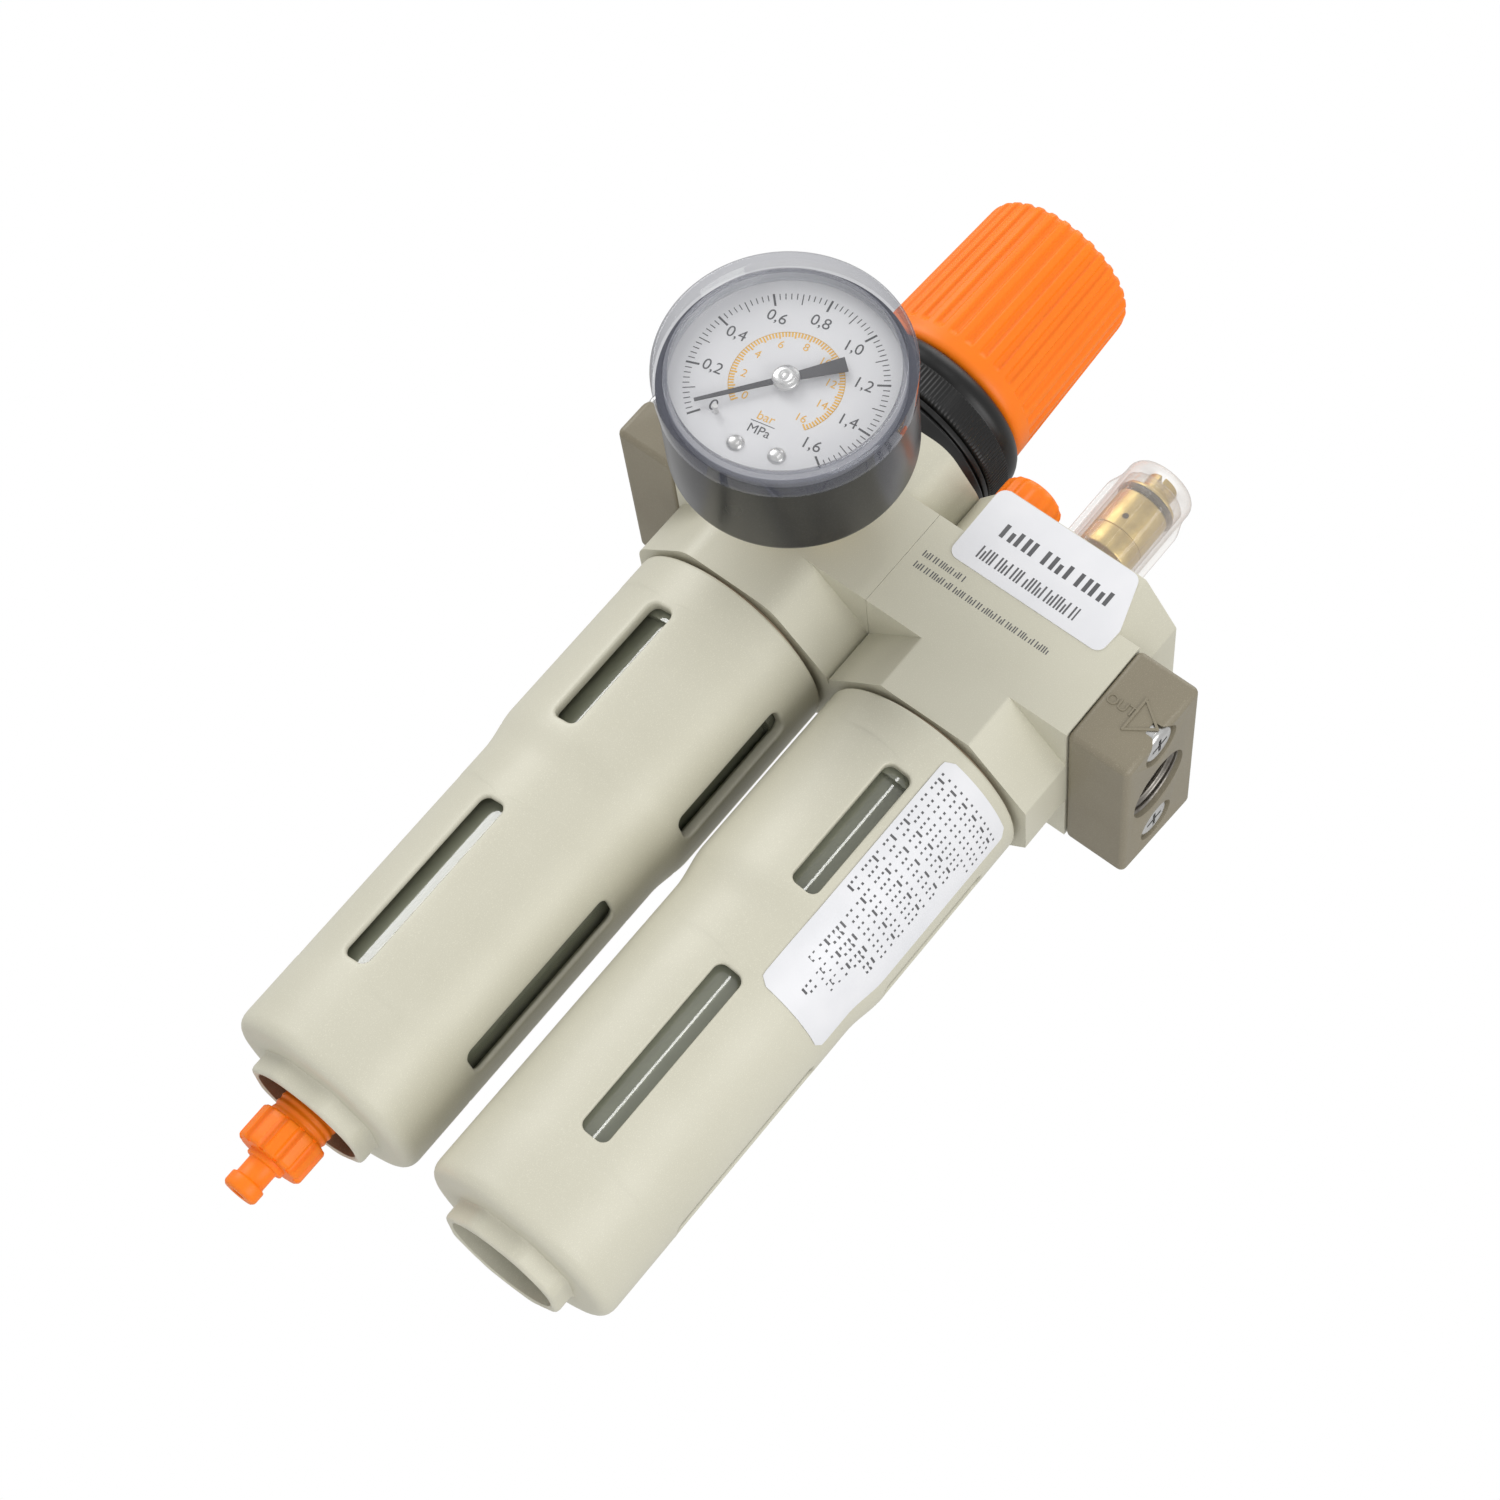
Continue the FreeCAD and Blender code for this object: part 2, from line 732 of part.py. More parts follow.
def make_filter_baffle():
    x = filter_x
    top = -guide_end - flange_thickness - element_length
    outline = [
        (0, top),
        (element_radius, top),
        (baffle_radius, top - 2.4),
        (baffle_radius, top - 3.6),
        (baffle_radius - 0.9, top - 3.6),
        (element_radius - 0.6, top - 1.6),
        (0, top - 1.6),
    ]
    shade = turned(outline, x)
    stud = upright(stud_radius, top, -guide_end + 2.8, x)
    fins = repeated(block(x - 0.6, x + 0.6, -8, 8, top - 9, top - 1.5), 2, x)
    fins[1].rotate(at(x, 0, 0), at(0, 0, 1), -90)
    return shade.fuse([stud] + fins)


def make_valve_poppet():
    top = web_low - seat_gap
    shape = upright(poppet_radius, top - poppet_height, top, filter_x)
    stem = upright(stem_radius, top - 0.1, diaphragm_seat - 0.4, filter_x)
    tail = upright(tail_radius, top - poppet_height - tail_length, top - poppet_height + 0.1, filter_x)
    return shape.fuse([stem, tail])


def make_diaphragm():
    crown = diaphragm_top + 0.5
    outline = [
        (bonnet_thread - 0.2, diaphragm_seat),
        (bonnet_thread - 0.2, diaphragm_top),
        (disc_radius + 0.9, diaphragm_top),
        (disc_radius - 1.2, crown + 1.0),
        (2.6, crown + 1.0),
        (2.6, crown),
        (disc_radius - 1.0, crown),
        (disc_radius + 1.2, diaphragm_seat),
    ]
    return turned(outline, filter_x)


def make_diaphragm_disc():
    """Spring disc on the diaphragm, with the washer under it and the relief seat."""
    crown = diaphragm_top + 0.5
    outline = [
        (0, diaphragm_seat - 0.4),
        (2.5, diaphragm_seat - 0.4),
        (5.5, crown - 1.0),
        (5.5, crown),
        (2.5, crown),
        (2.5, crown + 1.0),
        (disc_radius - 1.3, crown + 1.0),
        (disc_radius, crown + 1.4),
        (disc_radius, spring_low),
        (0, spring_low),
    ]
    return turned(outline, filter_x)


def make_bonnet():
    """Spring bonnet: screwed skirt, stepped flange, panel thread and spring tube."""
    x = filter_x
    low = diaphragm_top
    flange = neck_top + bonnet_flange_height
    groove = flange + bonnet_groove_height
    outline = [
        (bonnet_cavity, low),
        (bonnet_thread, low),
        (bonnet_thread, neck_top),
        (bonnet_flange_radius, neck_top),
        (bonnet_flange_radius, flange - 0.4),
        (bonnet_flange_radius - 0.4, flange),
        (bonnet_groove_radius, flange),
        (bonnet_groove_radius, groove),
        (bonnet_step_radius, groove),
        (bonnet_step_radius, bonnet_shoulder),
        (panel_thread, bonnet_shoulder),
        (panel_thread, nut_high),
        (bonnet_tube_radius, nut_high),
        (bonnet_tube_radius, bonnet_top - 0.8),
        (bonnet_tube_radius - 0.8, bonnet_top),
        (spindle_radius + thread_gap, bonnet_top),
        (spindle_radius + thread_gap, bonnet_top - bonnet_roof),
        (bonnet_cavity, bonnet_top - bonnet_roof),
    ]
    shape = turned(outline, x)
    key = block(x - bonnet_cavity - 0.4, x - bonnet_cavity + key_depth, -key_width / 2,
                key_width / 2, spring_low + 3, bonnet_top - bonnet_roof)
    return shape.fuse(repeated(key, 2, x))


def make_panel_nut():
    knurl = nut_low + nut_knurl_height
    outline = [
        (panel_thread, nut_low),
        (nut_radius - 0.4, nut_low),
        (nut_radius, nut_low + 0.4),
        (nut_radius, knurl),
        (nut_collar_radius, knurl + 0.3),
        (nut_collar_radius, nut_high - nut_cone_height),
        (nut_collar_radius - nut_cone_width, nut_high),
        (panel_thread, nut_high),
    ]
    return turned(outline, filter_x)


def hexagon(flats, low, high):
    corner = flats / math.sqrt(3)
    points = []
    for index in range(6):
        across, back = polar(corner, 60.0 * index + 30)
        points.append((filter_x + across, back))
    return prism(points, low, high)


def make_knob():
    """Adjusting knob: tapered fluted cap with a hexagon socket on its roof."""
    x = filter_x
    inside = knob_rim_radius - knob_wall
    hub_low = bonnet_top + 1.0
    outline = [
        (inside, knob_bottom),
        (knob_foot_radius - 0.9, knob_bottom),
        (knob_foot_radius - 0.2, knob_bottom + 0.4),
        (knob_foot_radius, knob_bottom + 1.2),
        (knob_rim_radius, knob_top - 1.0),
        (knob_rim_radius - 0.3, knob_top - 0.3),
        (knob_rim_radius - 1.0, knob_top),
        (0, knob_top),
        (0, hub_low),
        (knob_hub_radius, hub_low),
        (knob_hub_radius, knob_top - knob_roof),
        (inside, knob_top - knob_roof),
    ]
    shape = turned(outline, x)
    low = at(x + knob_foot_radius + 0.15, 0, knob_bottom + flute_start)
    lean = at(knob_rim_radius - knob_foot_radius, 0, knob_top - knob_bottom - 2.2)
    flute = Part.makeCylinder(flute_radius, knob_top - knob_bottom, low, lean)
    socket = hexagon(hex_flats + 2 * hex_gap, hub_low - 1, knob_top - knob_roof - 0.6)
    return shape.cut(repeated(flute, knob_flutes, x) + [socket])


def make_spindle():
    roof = bonnet_top - bonnet_roof
    shape = upright(spindle_radius, spindle_end, bonnet_top + 0.6, filter_x)
    collar = upright(spindle_collar, roof - 2.4, roof - thread_gap, filter_x)
    head = hexagon(hex_flats, bonnet_top + 0.5, knob_top - knob_roof - 1.2)
    return shape.fuse([collar, head])


def make_spring_plate():
    x = filter_x
    radius = bonnet_cavity - 0.3
    shape = upright(radius, plate_high - plate_height, plate_high, x)
    shape = shape.fuse(upright(plate_boss, plate_boss_low, plate_high - 1, x))
    key_side = key_width / 2 + sliding_gap
    notch = block(x - radius - 1, x - radius + key_depth + 0.2, -key_side, key_side,
                  plate_high - plate_height - 1, plate_high + 1)
    bore = upright(spindle_radius + thread_gap, plate_boss_low - 1, plate_high + 1, x)
    return shape.cut(repeated(notch, 2, x) + [bore])


def make_gauge_case():
    inner = case_radius - case_wall
    outline = [
        (gauge_thread + 0.2, case_back),
        (case_radius - 0.6, case_back),
        (case_radius, case_back - 0.6),
        (case_radius, case_front),
        (inner, case_front),
        (inner, case_back - 1.5),
        (gauge_thread + 0.2, case_back - 1.5),
    ]
    return turned_front(outline)


def make_gauge_lens():
    """Clear snap-on front with a raised rim round the recessed window."""
    inner = case_radius - case_wall
    window = lens_front + lens_recess
    outline = [
        (0, window),
        (inner - 0.5, window),
        (inner + 0.1, lens_front),
        (gauge_radius - 0.6, lens_front),
        (gauge_radius, lens_front + 0.6),
        (gauge_radius, case_front),
        (inner, case_front),
        (inner, window + lens_glass),
        (0, window + lens_glass),
    ]
    return turned_front(outline)


def make_gauge_dial():
    outline = [
        (pointer_shaft + 0.3, dial_face),
        (dial_radius, dial_face),
        (dial_radius, dial_face + dial_sheet),
        (pointer_shaft + 0.3, dial_face + dial_sheet),
    ]
    return turned_front(outline)


def make_gauge_socket():
    """Stem that screws in the block, wrench square, and the head that holds the tube."""
    port_end = -front_depth + gauge_port_depth - 0.2
    half = wrench_flats / 2
    inside = case_back - 5.0
    shape = inward(gauge_thread, inside, port_end, filter_x, gauge_z)
    square = block(filter_x - half, filter_x + half, -front_depth - 12.5, -front_depth - 0.5,
                   gauge_z - half, gauge_z + half)
    foot = block(filter_x - 2.5, filter_x + 2.5, inside, case_back - 1.6,
                 gauge_z - tube_radius - tube_thick / 2, gauge_z - 4)
    foot.rotate(at(filter_x, 0, gauge_z), at(0, 1, 0), -gauge_twist)
    bore = inward(1.0, inside + 2, port_end + 1, filter_x, gauge_z)
    return shape.fuse([square, foot]).cut(bore)


def make_bourdon_tube():
    middle = case_back - 7.5
    outline = [
        (tube_radius - tube_thick / 2, middle - tube_width / 2),
        (tube_radius + tube_thick / 2, middle - tube_width / 2),
        (tube_radius + tube_thick / 2, middle + tube_width / 2),
        (tube_radius - tube_thick / 2, middle + tube_width / 2),
    ]
    points = [at(filter_x + radius, depth, gauge_z) for radius, depth in outline]
    face = Part.Face(Part.makePolygon(points + points[:1]))
    shape = face.revolve(at(filter_x, 0, gauge_z), at(0, 1, 0), 250)
    shape.rotate(at(filter_x, 0, gauge_z), at(0, 1, 0), 90 - 8 - gauge_twist)
    return shape


def sector_pivot():
    return gauge_place(pinion_radius + sector_radius + sector_gap, -90 + gauge_twist, 0)


def movement_levels():
    rear = case_back - 5.0
    front = dial_face + dial_sheet + 1.0
    return rear, front


def make_gauge_movement():
    """Two plates and their pillars, with bearing holes for the pointer shaft and the sector."""
    rear, front = movement_levels()
    pivot = sector_pivot()
    plates = []
    for start, stop in ((rear - 1.0, rear), (front, front + 1.0)):
        plates.append(block(filter_x - 5, filter_x + 5, start, stop, gauge_z - 12.3, gauge_z + 3))
    for across, up in ((-4, -11.3), (4, -11.3), (-4, 2), (4, 2)):
        plates.append(inward(0.9, front, rear, filter_x + across, gauge_z + up))
    frame = plates[0].fuse(plates[1:])
    frame.rotate(at(filter_x, 0, gauge_z), at(0, 1, 0), -gauge_twist)
    hole = pointer_shaft + shaft_gap
    cuts = [
        inward(hole, front - 1, rear + 1, filter_x, gauge_z),
        inward(hole, front - 1, rear + 1, pivot.x, pivot.z),
    ]
    return frame.cut(cuts)


def make_sector_gear():
    rear, front = movement_levels()
    pivot = sector_pivot()
    middle = (rear + front) / 2
    disc = inward(sector_radius, middle - 0.5, middle + 0.5, pivot.x, pivot.z)
    wedge = Part.makeCylinder(sector_radius + 1, 3, at(pivot.x, middle - 1.5, pivot.z), at(0, 1, 0),
                              2 * sector_half_angle)
    span = wedge.BoundBox
    toward = gauge_twist
    aim = math.degrees(math.atan2(span.Center.z - pivot.z, span.Center.x - pivot.x))
    wedge.rotate(at(pivot.x, 0, pivot.z), at(0, 1, 0), aim - (90 + toward) + sector_rest)
    shaft = inward(pointer_shaft, front + 0.1, rear - 0.1, pivot.x, pivot.z)
    hub = inward(1.5, middle - 0.9, middle + 0.9, pivot.x, pivot.z)
    return disc.common(wedge).fuse([hub, shaft])


def make_gauge_pointer():
    rear, front = movement_levels()
    middle = (rear + front) / 2
    face = dial_face - 1.0
    half_tip = 0.25
    half_root = 0.9
    half_tail = 1.5
    points = [
        (-pointer_tail, -half_tail),
        (-2.0, -half_root),
        (pointer_length, -half_tip),
        (pointer_length, half_tip),
        (-2.0, half_root),
        (-pointer_tail, half_tail),
    ]
    corners = [at(filter_x + across, face, gauge_z + up) for across, up in points]
    blade = Part.Face(Part.makePolygon(corners + corners[:1])).extrude(at(0, 0.4, 0))
    blade.rotate(at(filter_x, 0, gauge_z), at(0, 1, 0), -pointer_angle)
    hub = inward(pointer_hub, face - 0.6, face + 0.5, filter_x, gauge_z)
    shaft = inward(pointer_shaft, face, rear - 0.1, filter_x, gauge_z)
    pinion = inward(pinion_radius, middle - 1.0, middle + 1.0, filter_x, gauge_z)
    return blade.fuse([hub, shaft, pinion])


def make_dial_rivets():
    rivets = []
    for offset in (-rivet_spread, rivet_spread):
        place = gauge_place(rivet_radius, -90 + gauge_twist + rivet_turn + offset, 0)
        rivets.append(inward(rivet_head, dial_face - 0.7, dial_face, place.x, place.z))
    return Part.makeCompound(rivets)


def make_stop_pin():
    place = gauge_place(stop_radius, stop_angle, 0)
    return inward(0.45, dial_face - 1.8, dial_face, place.x, place.z)


def make_sight_dome():
    """Clear cap over the drip nozzle, with grip fins and a hole for the needle screw."""
    x = lubricator_x
    seat = neck_top + dome_washer
    shoulder = seat + dome_flange_height
    outline = [
        (dome_bore, neck_top - dome_foot_length + 0.1),
        (dome_foot, neck_top - dome_foot_length + 0.1),
        (dome_foot, seat),
        (dome_flange, seat),
        (dome_flange, shoulder),
        (dome_radius, shoulder),
        (dome_radius, dome_top - dome_round),
        (dome_radius - 0.18 * dome_round, dome_top - 0.45 * dome_round),
        (dome_radius - 0.5 * dome_round, dome_top - 0.12 * dome_round),
        (dome_radius - dome_round, dome_top),
        (needle_head + thread_gap, dome_top),
        (needle_head + thread_gap, dome_inside_top),
        (dome_bore, dome_inside_top),
    ]
    reach = turned([
        (dome_radius - 0.5, shoulder - 0.2),
        (dome_fin_radius, shoulder - 0.2),
        (dome_fin_radius, dome_fin_top - dome_fin_slope),
        (dome_radius - 0.5, dome_fin_top),
    ], x)
    fin = block(x, x + dome_fin_radius + 1, -dome_fin_width / 2, dome_fin_width / 2,
                shoulder - 0.2, dome_fin_top)
    fin.rotate(at(x, 0, 0), at(0, 0, 1), dome_fin_turn)
    fins = [copy.common(reach) for copy in repeated(fin, dome_fins, x)]
    return turned(outline, x).fuse(fins)


def make_dome_seal():
    """Flat washer under the dome's flange."""
    return tube(dome_flange - 0.3, dome_foot, neck_top, neck_top + dome_washer, lubricator_x)


def make_drip_seat():
    outline = [
        (drip_bore, seat_insert_low),
        (dome_bore - 0.05, seat_insert_low),
        (dome_bore - 0.05, seat_insert_high - 3.0),
        (dome_bore - 1.2, seat_insert_high),
        (needle_neck + thread_gap, seat_insert_high),
        (needle_neck + thread_gap, seat_insert_bore_low),
        (drip_bore, seat_insert_bore_low),
    ]
    return turned(outline, lubricator_x)


def make_needle_screw():
    x = lubricator_x
    ring_high = needle_ring_low + needle_ring_height
    cap_high = ring_high + needle_cap_height
    groove = dome_bore - 2 * needle_ring_wire - 0.1
    outline = [
        (0, needle_tip_low),
        (0.3, needle_tip_low),
        (needle_tip, needle_tip_low + 2.5),
        (needle_tip, needle_neck_low),
        (needle_neck, needle_neck_low + 0.3),
        (needle_neck, needle_body_low),
        (needle_body, needle_body_low),
        (needle_body, needle_ring_low),
        (groove, needle_ring_low),
        (groove, ring_high),
        (needle_body, ring_high),
        (needle_body, cap_high),
        (needle_head, cap_high),
        (needle_head, dome_top - 0.5),
        (0, dome_top - 0.5),
    ]
    shape = turned(outline, x)
    slot = block(x - 0.4, x + 0.4, -needle_head - 1, needle_head + 1, dome_top - 2.0, dome_top)
    cross_hole = inward(0.5, -needle_body - 1, needle_body + 1, x, (needle_body_low + dome_inside_top) / 2)
    return shape.cut([slot, cross_hole])


def make_needle_seal():
    middle = needle_ring_low + needle_ring_height / 2
    return ring(dome_bore - needle_ring_wire - 0.05, needle_ring_wire, middle, lubricator_x)


def make_filler_plug():
    x = lubricator_x + plug_x
    low = neck_top + 1.2
    top = neck_top + 0.2 + plug_head_height
    outline = [
        (0, neck_top - plug_shank_length),
        (plug_shank - 0.5, neck_top - plug_shank_length),
        (plug_shank, neck_top - plug_shank_length + 0.5),
        (plug_shank, low),
        (plug_head, low),
        (plug_head, top - 0.8),
        (plug_head - 0.8, top),
        (0, top),
    ]
    shape = turned(outline, x, plug_y)
    flute = upright(0.7, low - 1, top + 1, x + plug_head + 0.2, plug_y)
    groove = tube(plug_shank + 1, plug_shank - plug_ring_wire, neck_top - 0.1, low, x, plug_y)
    return shape.cut(repeated(flute, plug_ribs, x, plug_y) + [groove])


def make_plug_seal():
    middle = neck_top + plug_ring_wire + 0.05
    return ring(plug_shank, plug_ring_wire, middle, lubricator_x + plug_x, plug_y)


def make_siphon_tube():
    """Oil riser from the foot near the bowl's floor to its socket in the roof."""
    x = lubricator_x
    top = -chamber_height + siphon_socket - 0.2
    bore = ball_radius + ball_gap
    outline = [
        (siphon_bore, top),
        (siphon_radius, top),
        (siphon_radius, -siphon_end + siphon_foot_height + 1.0),
        (siphon_foot_radius, -siphon_end + siphon_foot_height),
        (siphon_foot_radius, -siphon_end),
        (ball_radius - 0.6, -siphon_end),
        (ball_radius - 0.6, -siphon_end + 1.6),
        (bore, -siphon_end + 2.4),
        (bore, -siphon_end + siphon_foot_height - 0.6),
        (siphon_bore, -siphon_end + siphon_foot_height),
    ]
    shape = turned(outline, x, riser_y)
    strainer = along(0.6, x - 5, x + 5, riser_y, -siphon_end + 0.5)
    return shape.cut(strainer)


def make_check_ball():
    return Part.makeSphere(ball_radius, at(lubricator_x, riser_y, -siphon_end + 2.2 + ball_radius))


def make_flow_flap():
    """Paddle hung in the air passage from a cross pin."""
    x = lubricator_x + flap_x
    half = flap_thickness / 2
    paddle = block(x - half, x + half, -flap_radius, flap_radius, -flap_radius - 1, 3.0)
    paddle = paddle.common(along(flap_radius, x - 2, x + 2))
    upper = block(x - half, x + half, -3.4, 3.4, 1.0, flap_pin_z)
    pin = inward(flap_pin_radius, -5.8, 5.8, x, flap_pin_z)
    return paddle.fuse([upper, pin])


def make_front_label():
    """Label on the lubricator's front, cut back at its upper outer corner."""
    left = joint_x + label_left
    right = joint_x + label_right
    points = [
        (left, label_low),
        (right, label_low),
        (right + 0.3, label_low + 5.2),
        (outlet_start - neck_cut_x - 1.0, neck_top - 0.2),
        (left - 0.2, neck_top - 0.2),
    ]
    corners = [at(x, -front_depth, z) for x, z in points]
    sheet = Part.Face(Part.makePolygon(corners + corners[:1])).extrude(at(0, -label_thickness, 0))
    rounded = []
    for edge in sheet.Edges:
        span = edge.BoundBox
        if span.XLength < 0.01 and span.ZLength < 0.01:
            rounded.append(edge)
    return sheet.makeFillet(1.8, rounded)


def make_guard_label():
    """Sticker bent round the lubricator's guard, over its step."""
    x = lubricator_x
    outer = guard_upper_radius
    lower = guard_lower_radius
    skin = label_thickness
    outline = [
        (outer, -guard_label_top),
        (outer + skin, -guard_label_top),
        (outer + skin, -guard_step_top),
        (lower + skin, -guard_step_bottom),
        (lower + skin, -guard_label_bottom),
        (lower, -guard_label_bottom),
        (lower, -guard_step_bottom),
        (outer, -guard_step_top),
    ]
    points = [at(x + radius, 0, height) for radius, height in outline]
    face = Part.Face(Part.makePolygon(points + points[:1]))
    sheet = face.revolve(at(x, 0, 0), at(0, 0, 1), guard_label_sweep)
    sheet.rotate(at(x, 0, 0), at(0, 0, 1), guard_label_start)
    return sheet


pieces = {
    "filter_regulator_housing": make_filter_housing(),
    "lubricator_housing": make_lubricator_housing(),
    "inlet_plate": make_port_plate(plate_thickness, 0.0),
    "outlet_plate": make_port_plate(outlet_start, outlet_mouth),
    "plate_screws": make_plate_screws(),
    "module_studs": make_module_studs(),
    "port_seals": make_port_seals(),
    "filter_bowl": make_filter_bowl(),
    "filter_bowl_seal": make_bowl_seal(filter_x),
    "filter_guard": make_guard(filter_x, filter_slot_turn),
    "drain_screw": make_drain_screw(),
    "drain_seal": make_drain_seal(),
    "valve_guide": make_valve_guide(),
    "swirl_vane": make_swirl_vane(),
    "filter_element": tube(element_radius, element_bore, -guide_end - flange_thickness - element_length,
                           -guide_end - flange_thickness, filter_x),
    "filter_baffle": make_filter_baffle(),
    "valve_poppet": make_valve_poppet(),
    "valve_spring": coil(valve_spring_radius, valve_spring_wire, -guide_floor + guide_floor_height,
                         web_low - seat_gap - poppet_height, valve_spring_turns, filter_x),
    "diaphragm": make_diaphragm(),
    "diaphragm_disc": make_diaphragm_disc(),
    "regulator_bonnet": make_bonnet(),
    "panel_nut": make_panel_nut(),
    "pressure_knob": make_knob(),
    "adjusting_spindle": make_spindle(),
    "spring_plate": make_spring_plate(),
    "regulating_spring": coil(spring_radius, spring_wire, spring_low, plate_high - plate_height,
                              spring_turns, filter_x),
    "gauge_case": make_gauge_case(),
    "gauge_lens": make_gauge_lens(),
    "gauge_dial": make_gauge_dial(),
    "gauge_socket": make_gauge_socket(),
    "bourdon_tube": make_bourdon_tube(),
    "gauge_movement": make_gauge_movement(),
    "sector_gear": make_sector_gear(),
    "gauge_pointer": make_gauge_pointer(),
    "dial_rivets": make_dial_rivets(),
    "pointer_stop_pin": make_stop_pin(),
    "lubricator_bowl": turned(bowl_outline(True), lubricator_x),
    "lubricator_bowl_seal": make_bowl_seal(lubricator_x),
    "lubricator_guard": make_guard(lubricator_x, lubricator_slot_turn),
    "siphon_tube": make_siphon_tube(),
    "siphon_check_ball": make_check_ball(),
    "sight_dome": make_sight_dome(),
    "sight_dome_washer": make_dome_seal(),
    "drip_seat": make_drip_seat(),
    "needle_screw": make_needle_screw(),
    "needle_seal": make_needle_seal(),
    "filler_plug": make_filler_plug(),
    "filler_plug_seal": make_plug_seal(),
    "flow_flap": make_flow_flap(),
    "front_label": make_front_label(),
    "guard_label": make_guard_label(),
}

os.makedirs("parts", exist_ok=True)
for name, shape in pieces.items():
    if not shape.isValid():
        print("not valid:", name)
    print(name, len(shape.Solids), round(shape.Volume, 1))
    shape.exportStep("parts/" + name + ".step")
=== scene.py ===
import math
import bmesh
import bpy
from mathutils import Matrix, Vector


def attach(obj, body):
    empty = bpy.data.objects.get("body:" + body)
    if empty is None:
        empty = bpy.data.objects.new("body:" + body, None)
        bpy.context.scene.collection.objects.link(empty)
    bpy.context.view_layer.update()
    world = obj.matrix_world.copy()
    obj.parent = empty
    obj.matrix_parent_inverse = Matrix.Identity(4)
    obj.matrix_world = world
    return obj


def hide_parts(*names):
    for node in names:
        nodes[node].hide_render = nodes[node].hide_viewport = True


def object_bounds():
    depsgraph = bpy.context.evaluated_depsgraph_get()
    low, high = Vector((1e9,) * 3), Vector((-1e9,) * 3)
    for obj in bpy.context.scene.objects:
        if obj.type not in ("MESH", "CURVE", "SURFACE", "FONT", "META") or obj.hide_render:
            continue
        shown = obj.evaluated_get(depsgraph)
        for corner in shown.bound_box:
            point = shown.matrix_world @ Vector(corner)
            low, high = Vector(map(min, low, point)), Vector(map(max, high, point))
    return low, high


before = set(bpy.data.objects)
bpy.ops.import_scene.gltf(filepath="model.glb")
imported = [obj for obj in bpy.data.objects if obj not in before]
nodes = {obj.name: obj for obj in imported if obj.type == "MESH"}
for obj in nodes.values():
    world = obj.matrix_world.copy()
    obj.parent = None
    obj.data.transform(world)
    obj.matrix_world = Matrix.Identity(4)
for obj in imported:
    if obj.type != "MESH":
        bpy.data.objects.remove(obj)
cadLow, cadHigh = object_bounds()
mm = 0.001  # everything below is in millimetres until a mesh is made

row = {
    "filterX": 32.0, "lubricatorX": 72.0,
    "front": -17.6, "backLow": 19.8, "backHigh": 23.2, "blockTop": 10.4, "blockLow": -9.0,
    "neckTop": 20.8, "skirtLow": -19.6,
}
print("frame loaded")


# finishes
class Wire:
    # one socket of a finish: arithmetic on it adds Math nodes
    def __init__(self, finish, socket):
        self.finish = finish
        self.socket = socket

    def maths(self, operation, first, second):
        return self.finish.add("ShaderNodeMath", {"operation": operation}, {0: first, 1: second})

    def __add__(self, other):
        return self.maths("ADD", self, other)

    def __radd__(self, other):
        return self.maths("ADD", other, self)

    def __sub__(self, other):
        return self.maths("SUBTRACT", self, other)

    def __rsub__(self, other):
        return self.maths("SUBTRACT", other, self)

    def __mul__(self, other):
        return self.maths("MULTIPLY", self, other)

    def __rmul__(self, other):
        return self.maths("MULTIPLY", other, self)

    def __truediv__(self, other):
        return self.maths("DIVIDE", self, other)


class Finish:
    # a material with one Principled shader, fed node by node
    def __init__(self, name):
        self.material = bpy.data.materials.new(name)
        self.material.use_nodes = True
        self.tree = self.material.node_tree
        self.tree.nodes.clear()
        out = self.tree.nodes.new("ShaderNodeOutputMaterial")
        self.shader = self.tree.nodes.new("ShaderNodeBsdfPrincipled")
        self.tree.links.new(self.shader.outputs[0], out.inputs[0])

    def add(self, kind, settings=None, values=None, output=0):
        node = self.tree.nodes.new(kind)
        for key, value in (settings or {}).items():
            if key == "stops":
                stops = node.color_ramp.elements
                for place, (at, colour) in zip((0, 1), (value[0], value[-1])):
                    stops[place].position = at
                    stops[place].color = (*colour, 1)
                for at, colour in value[1:-1]:
                    stops.new(at).color = (*colour, 1)
            else:
                setattr(node, key, value)
        for key, value in (values or {}).items():
            self.feed(node.inputs[key], value)
        return Wire(self, node.outputs[output])

    def feed(self, socket, value):
        if isinstance(value, Wire):
            self.tree.links.new(value.socket, socket)
        elif isinstance(value, tuple) and len(value) == 3 and socket.type == "RGBA":
            socket.default_value = (*value, 1)
        else:
            socket.default_value = value

    def shade(self, values):
        for key, value in values.items():
            self.feed(self.shader.inputs[key], value)

    def place(self):
        return self.add("ShaderNodeTexCoord", output="Object")

    def speckle(self, size, detail=3.0, stretch=None):
        # soft noise with features of about this size in millimetres
        spot = self.place()
        if stretch:
            spot = self.add("ShaderNodeVectorMath", {"operation": "MULTIPLY"}, {0: spot, 1: stretch})
        return self.add("ShaderNodeTexNoise", {}, {"Vector": spot, "Scale": 1000 / size,
                                                   "Detail": detail})

    def mix(self, first, second, factor):
        return self.add("ShaderNodeMix", {"data_type": "RGBA"}, {0: factor, 6: first, 7: second}, 2)

    def clamped(self, value, low, high):
        # 0 below low, 1 above high
        return self.add("ShaderNodeMapRange", {}, {0: value, 1: low, 2: high, 3: 0.0, 4: 1.0})

    def bump(self, height, depth, strength=0.5):
        return self.add("ShaderNodeBump", {}, {"Strength": strength, "Distance": depth * mm,
                                               "Height": height})


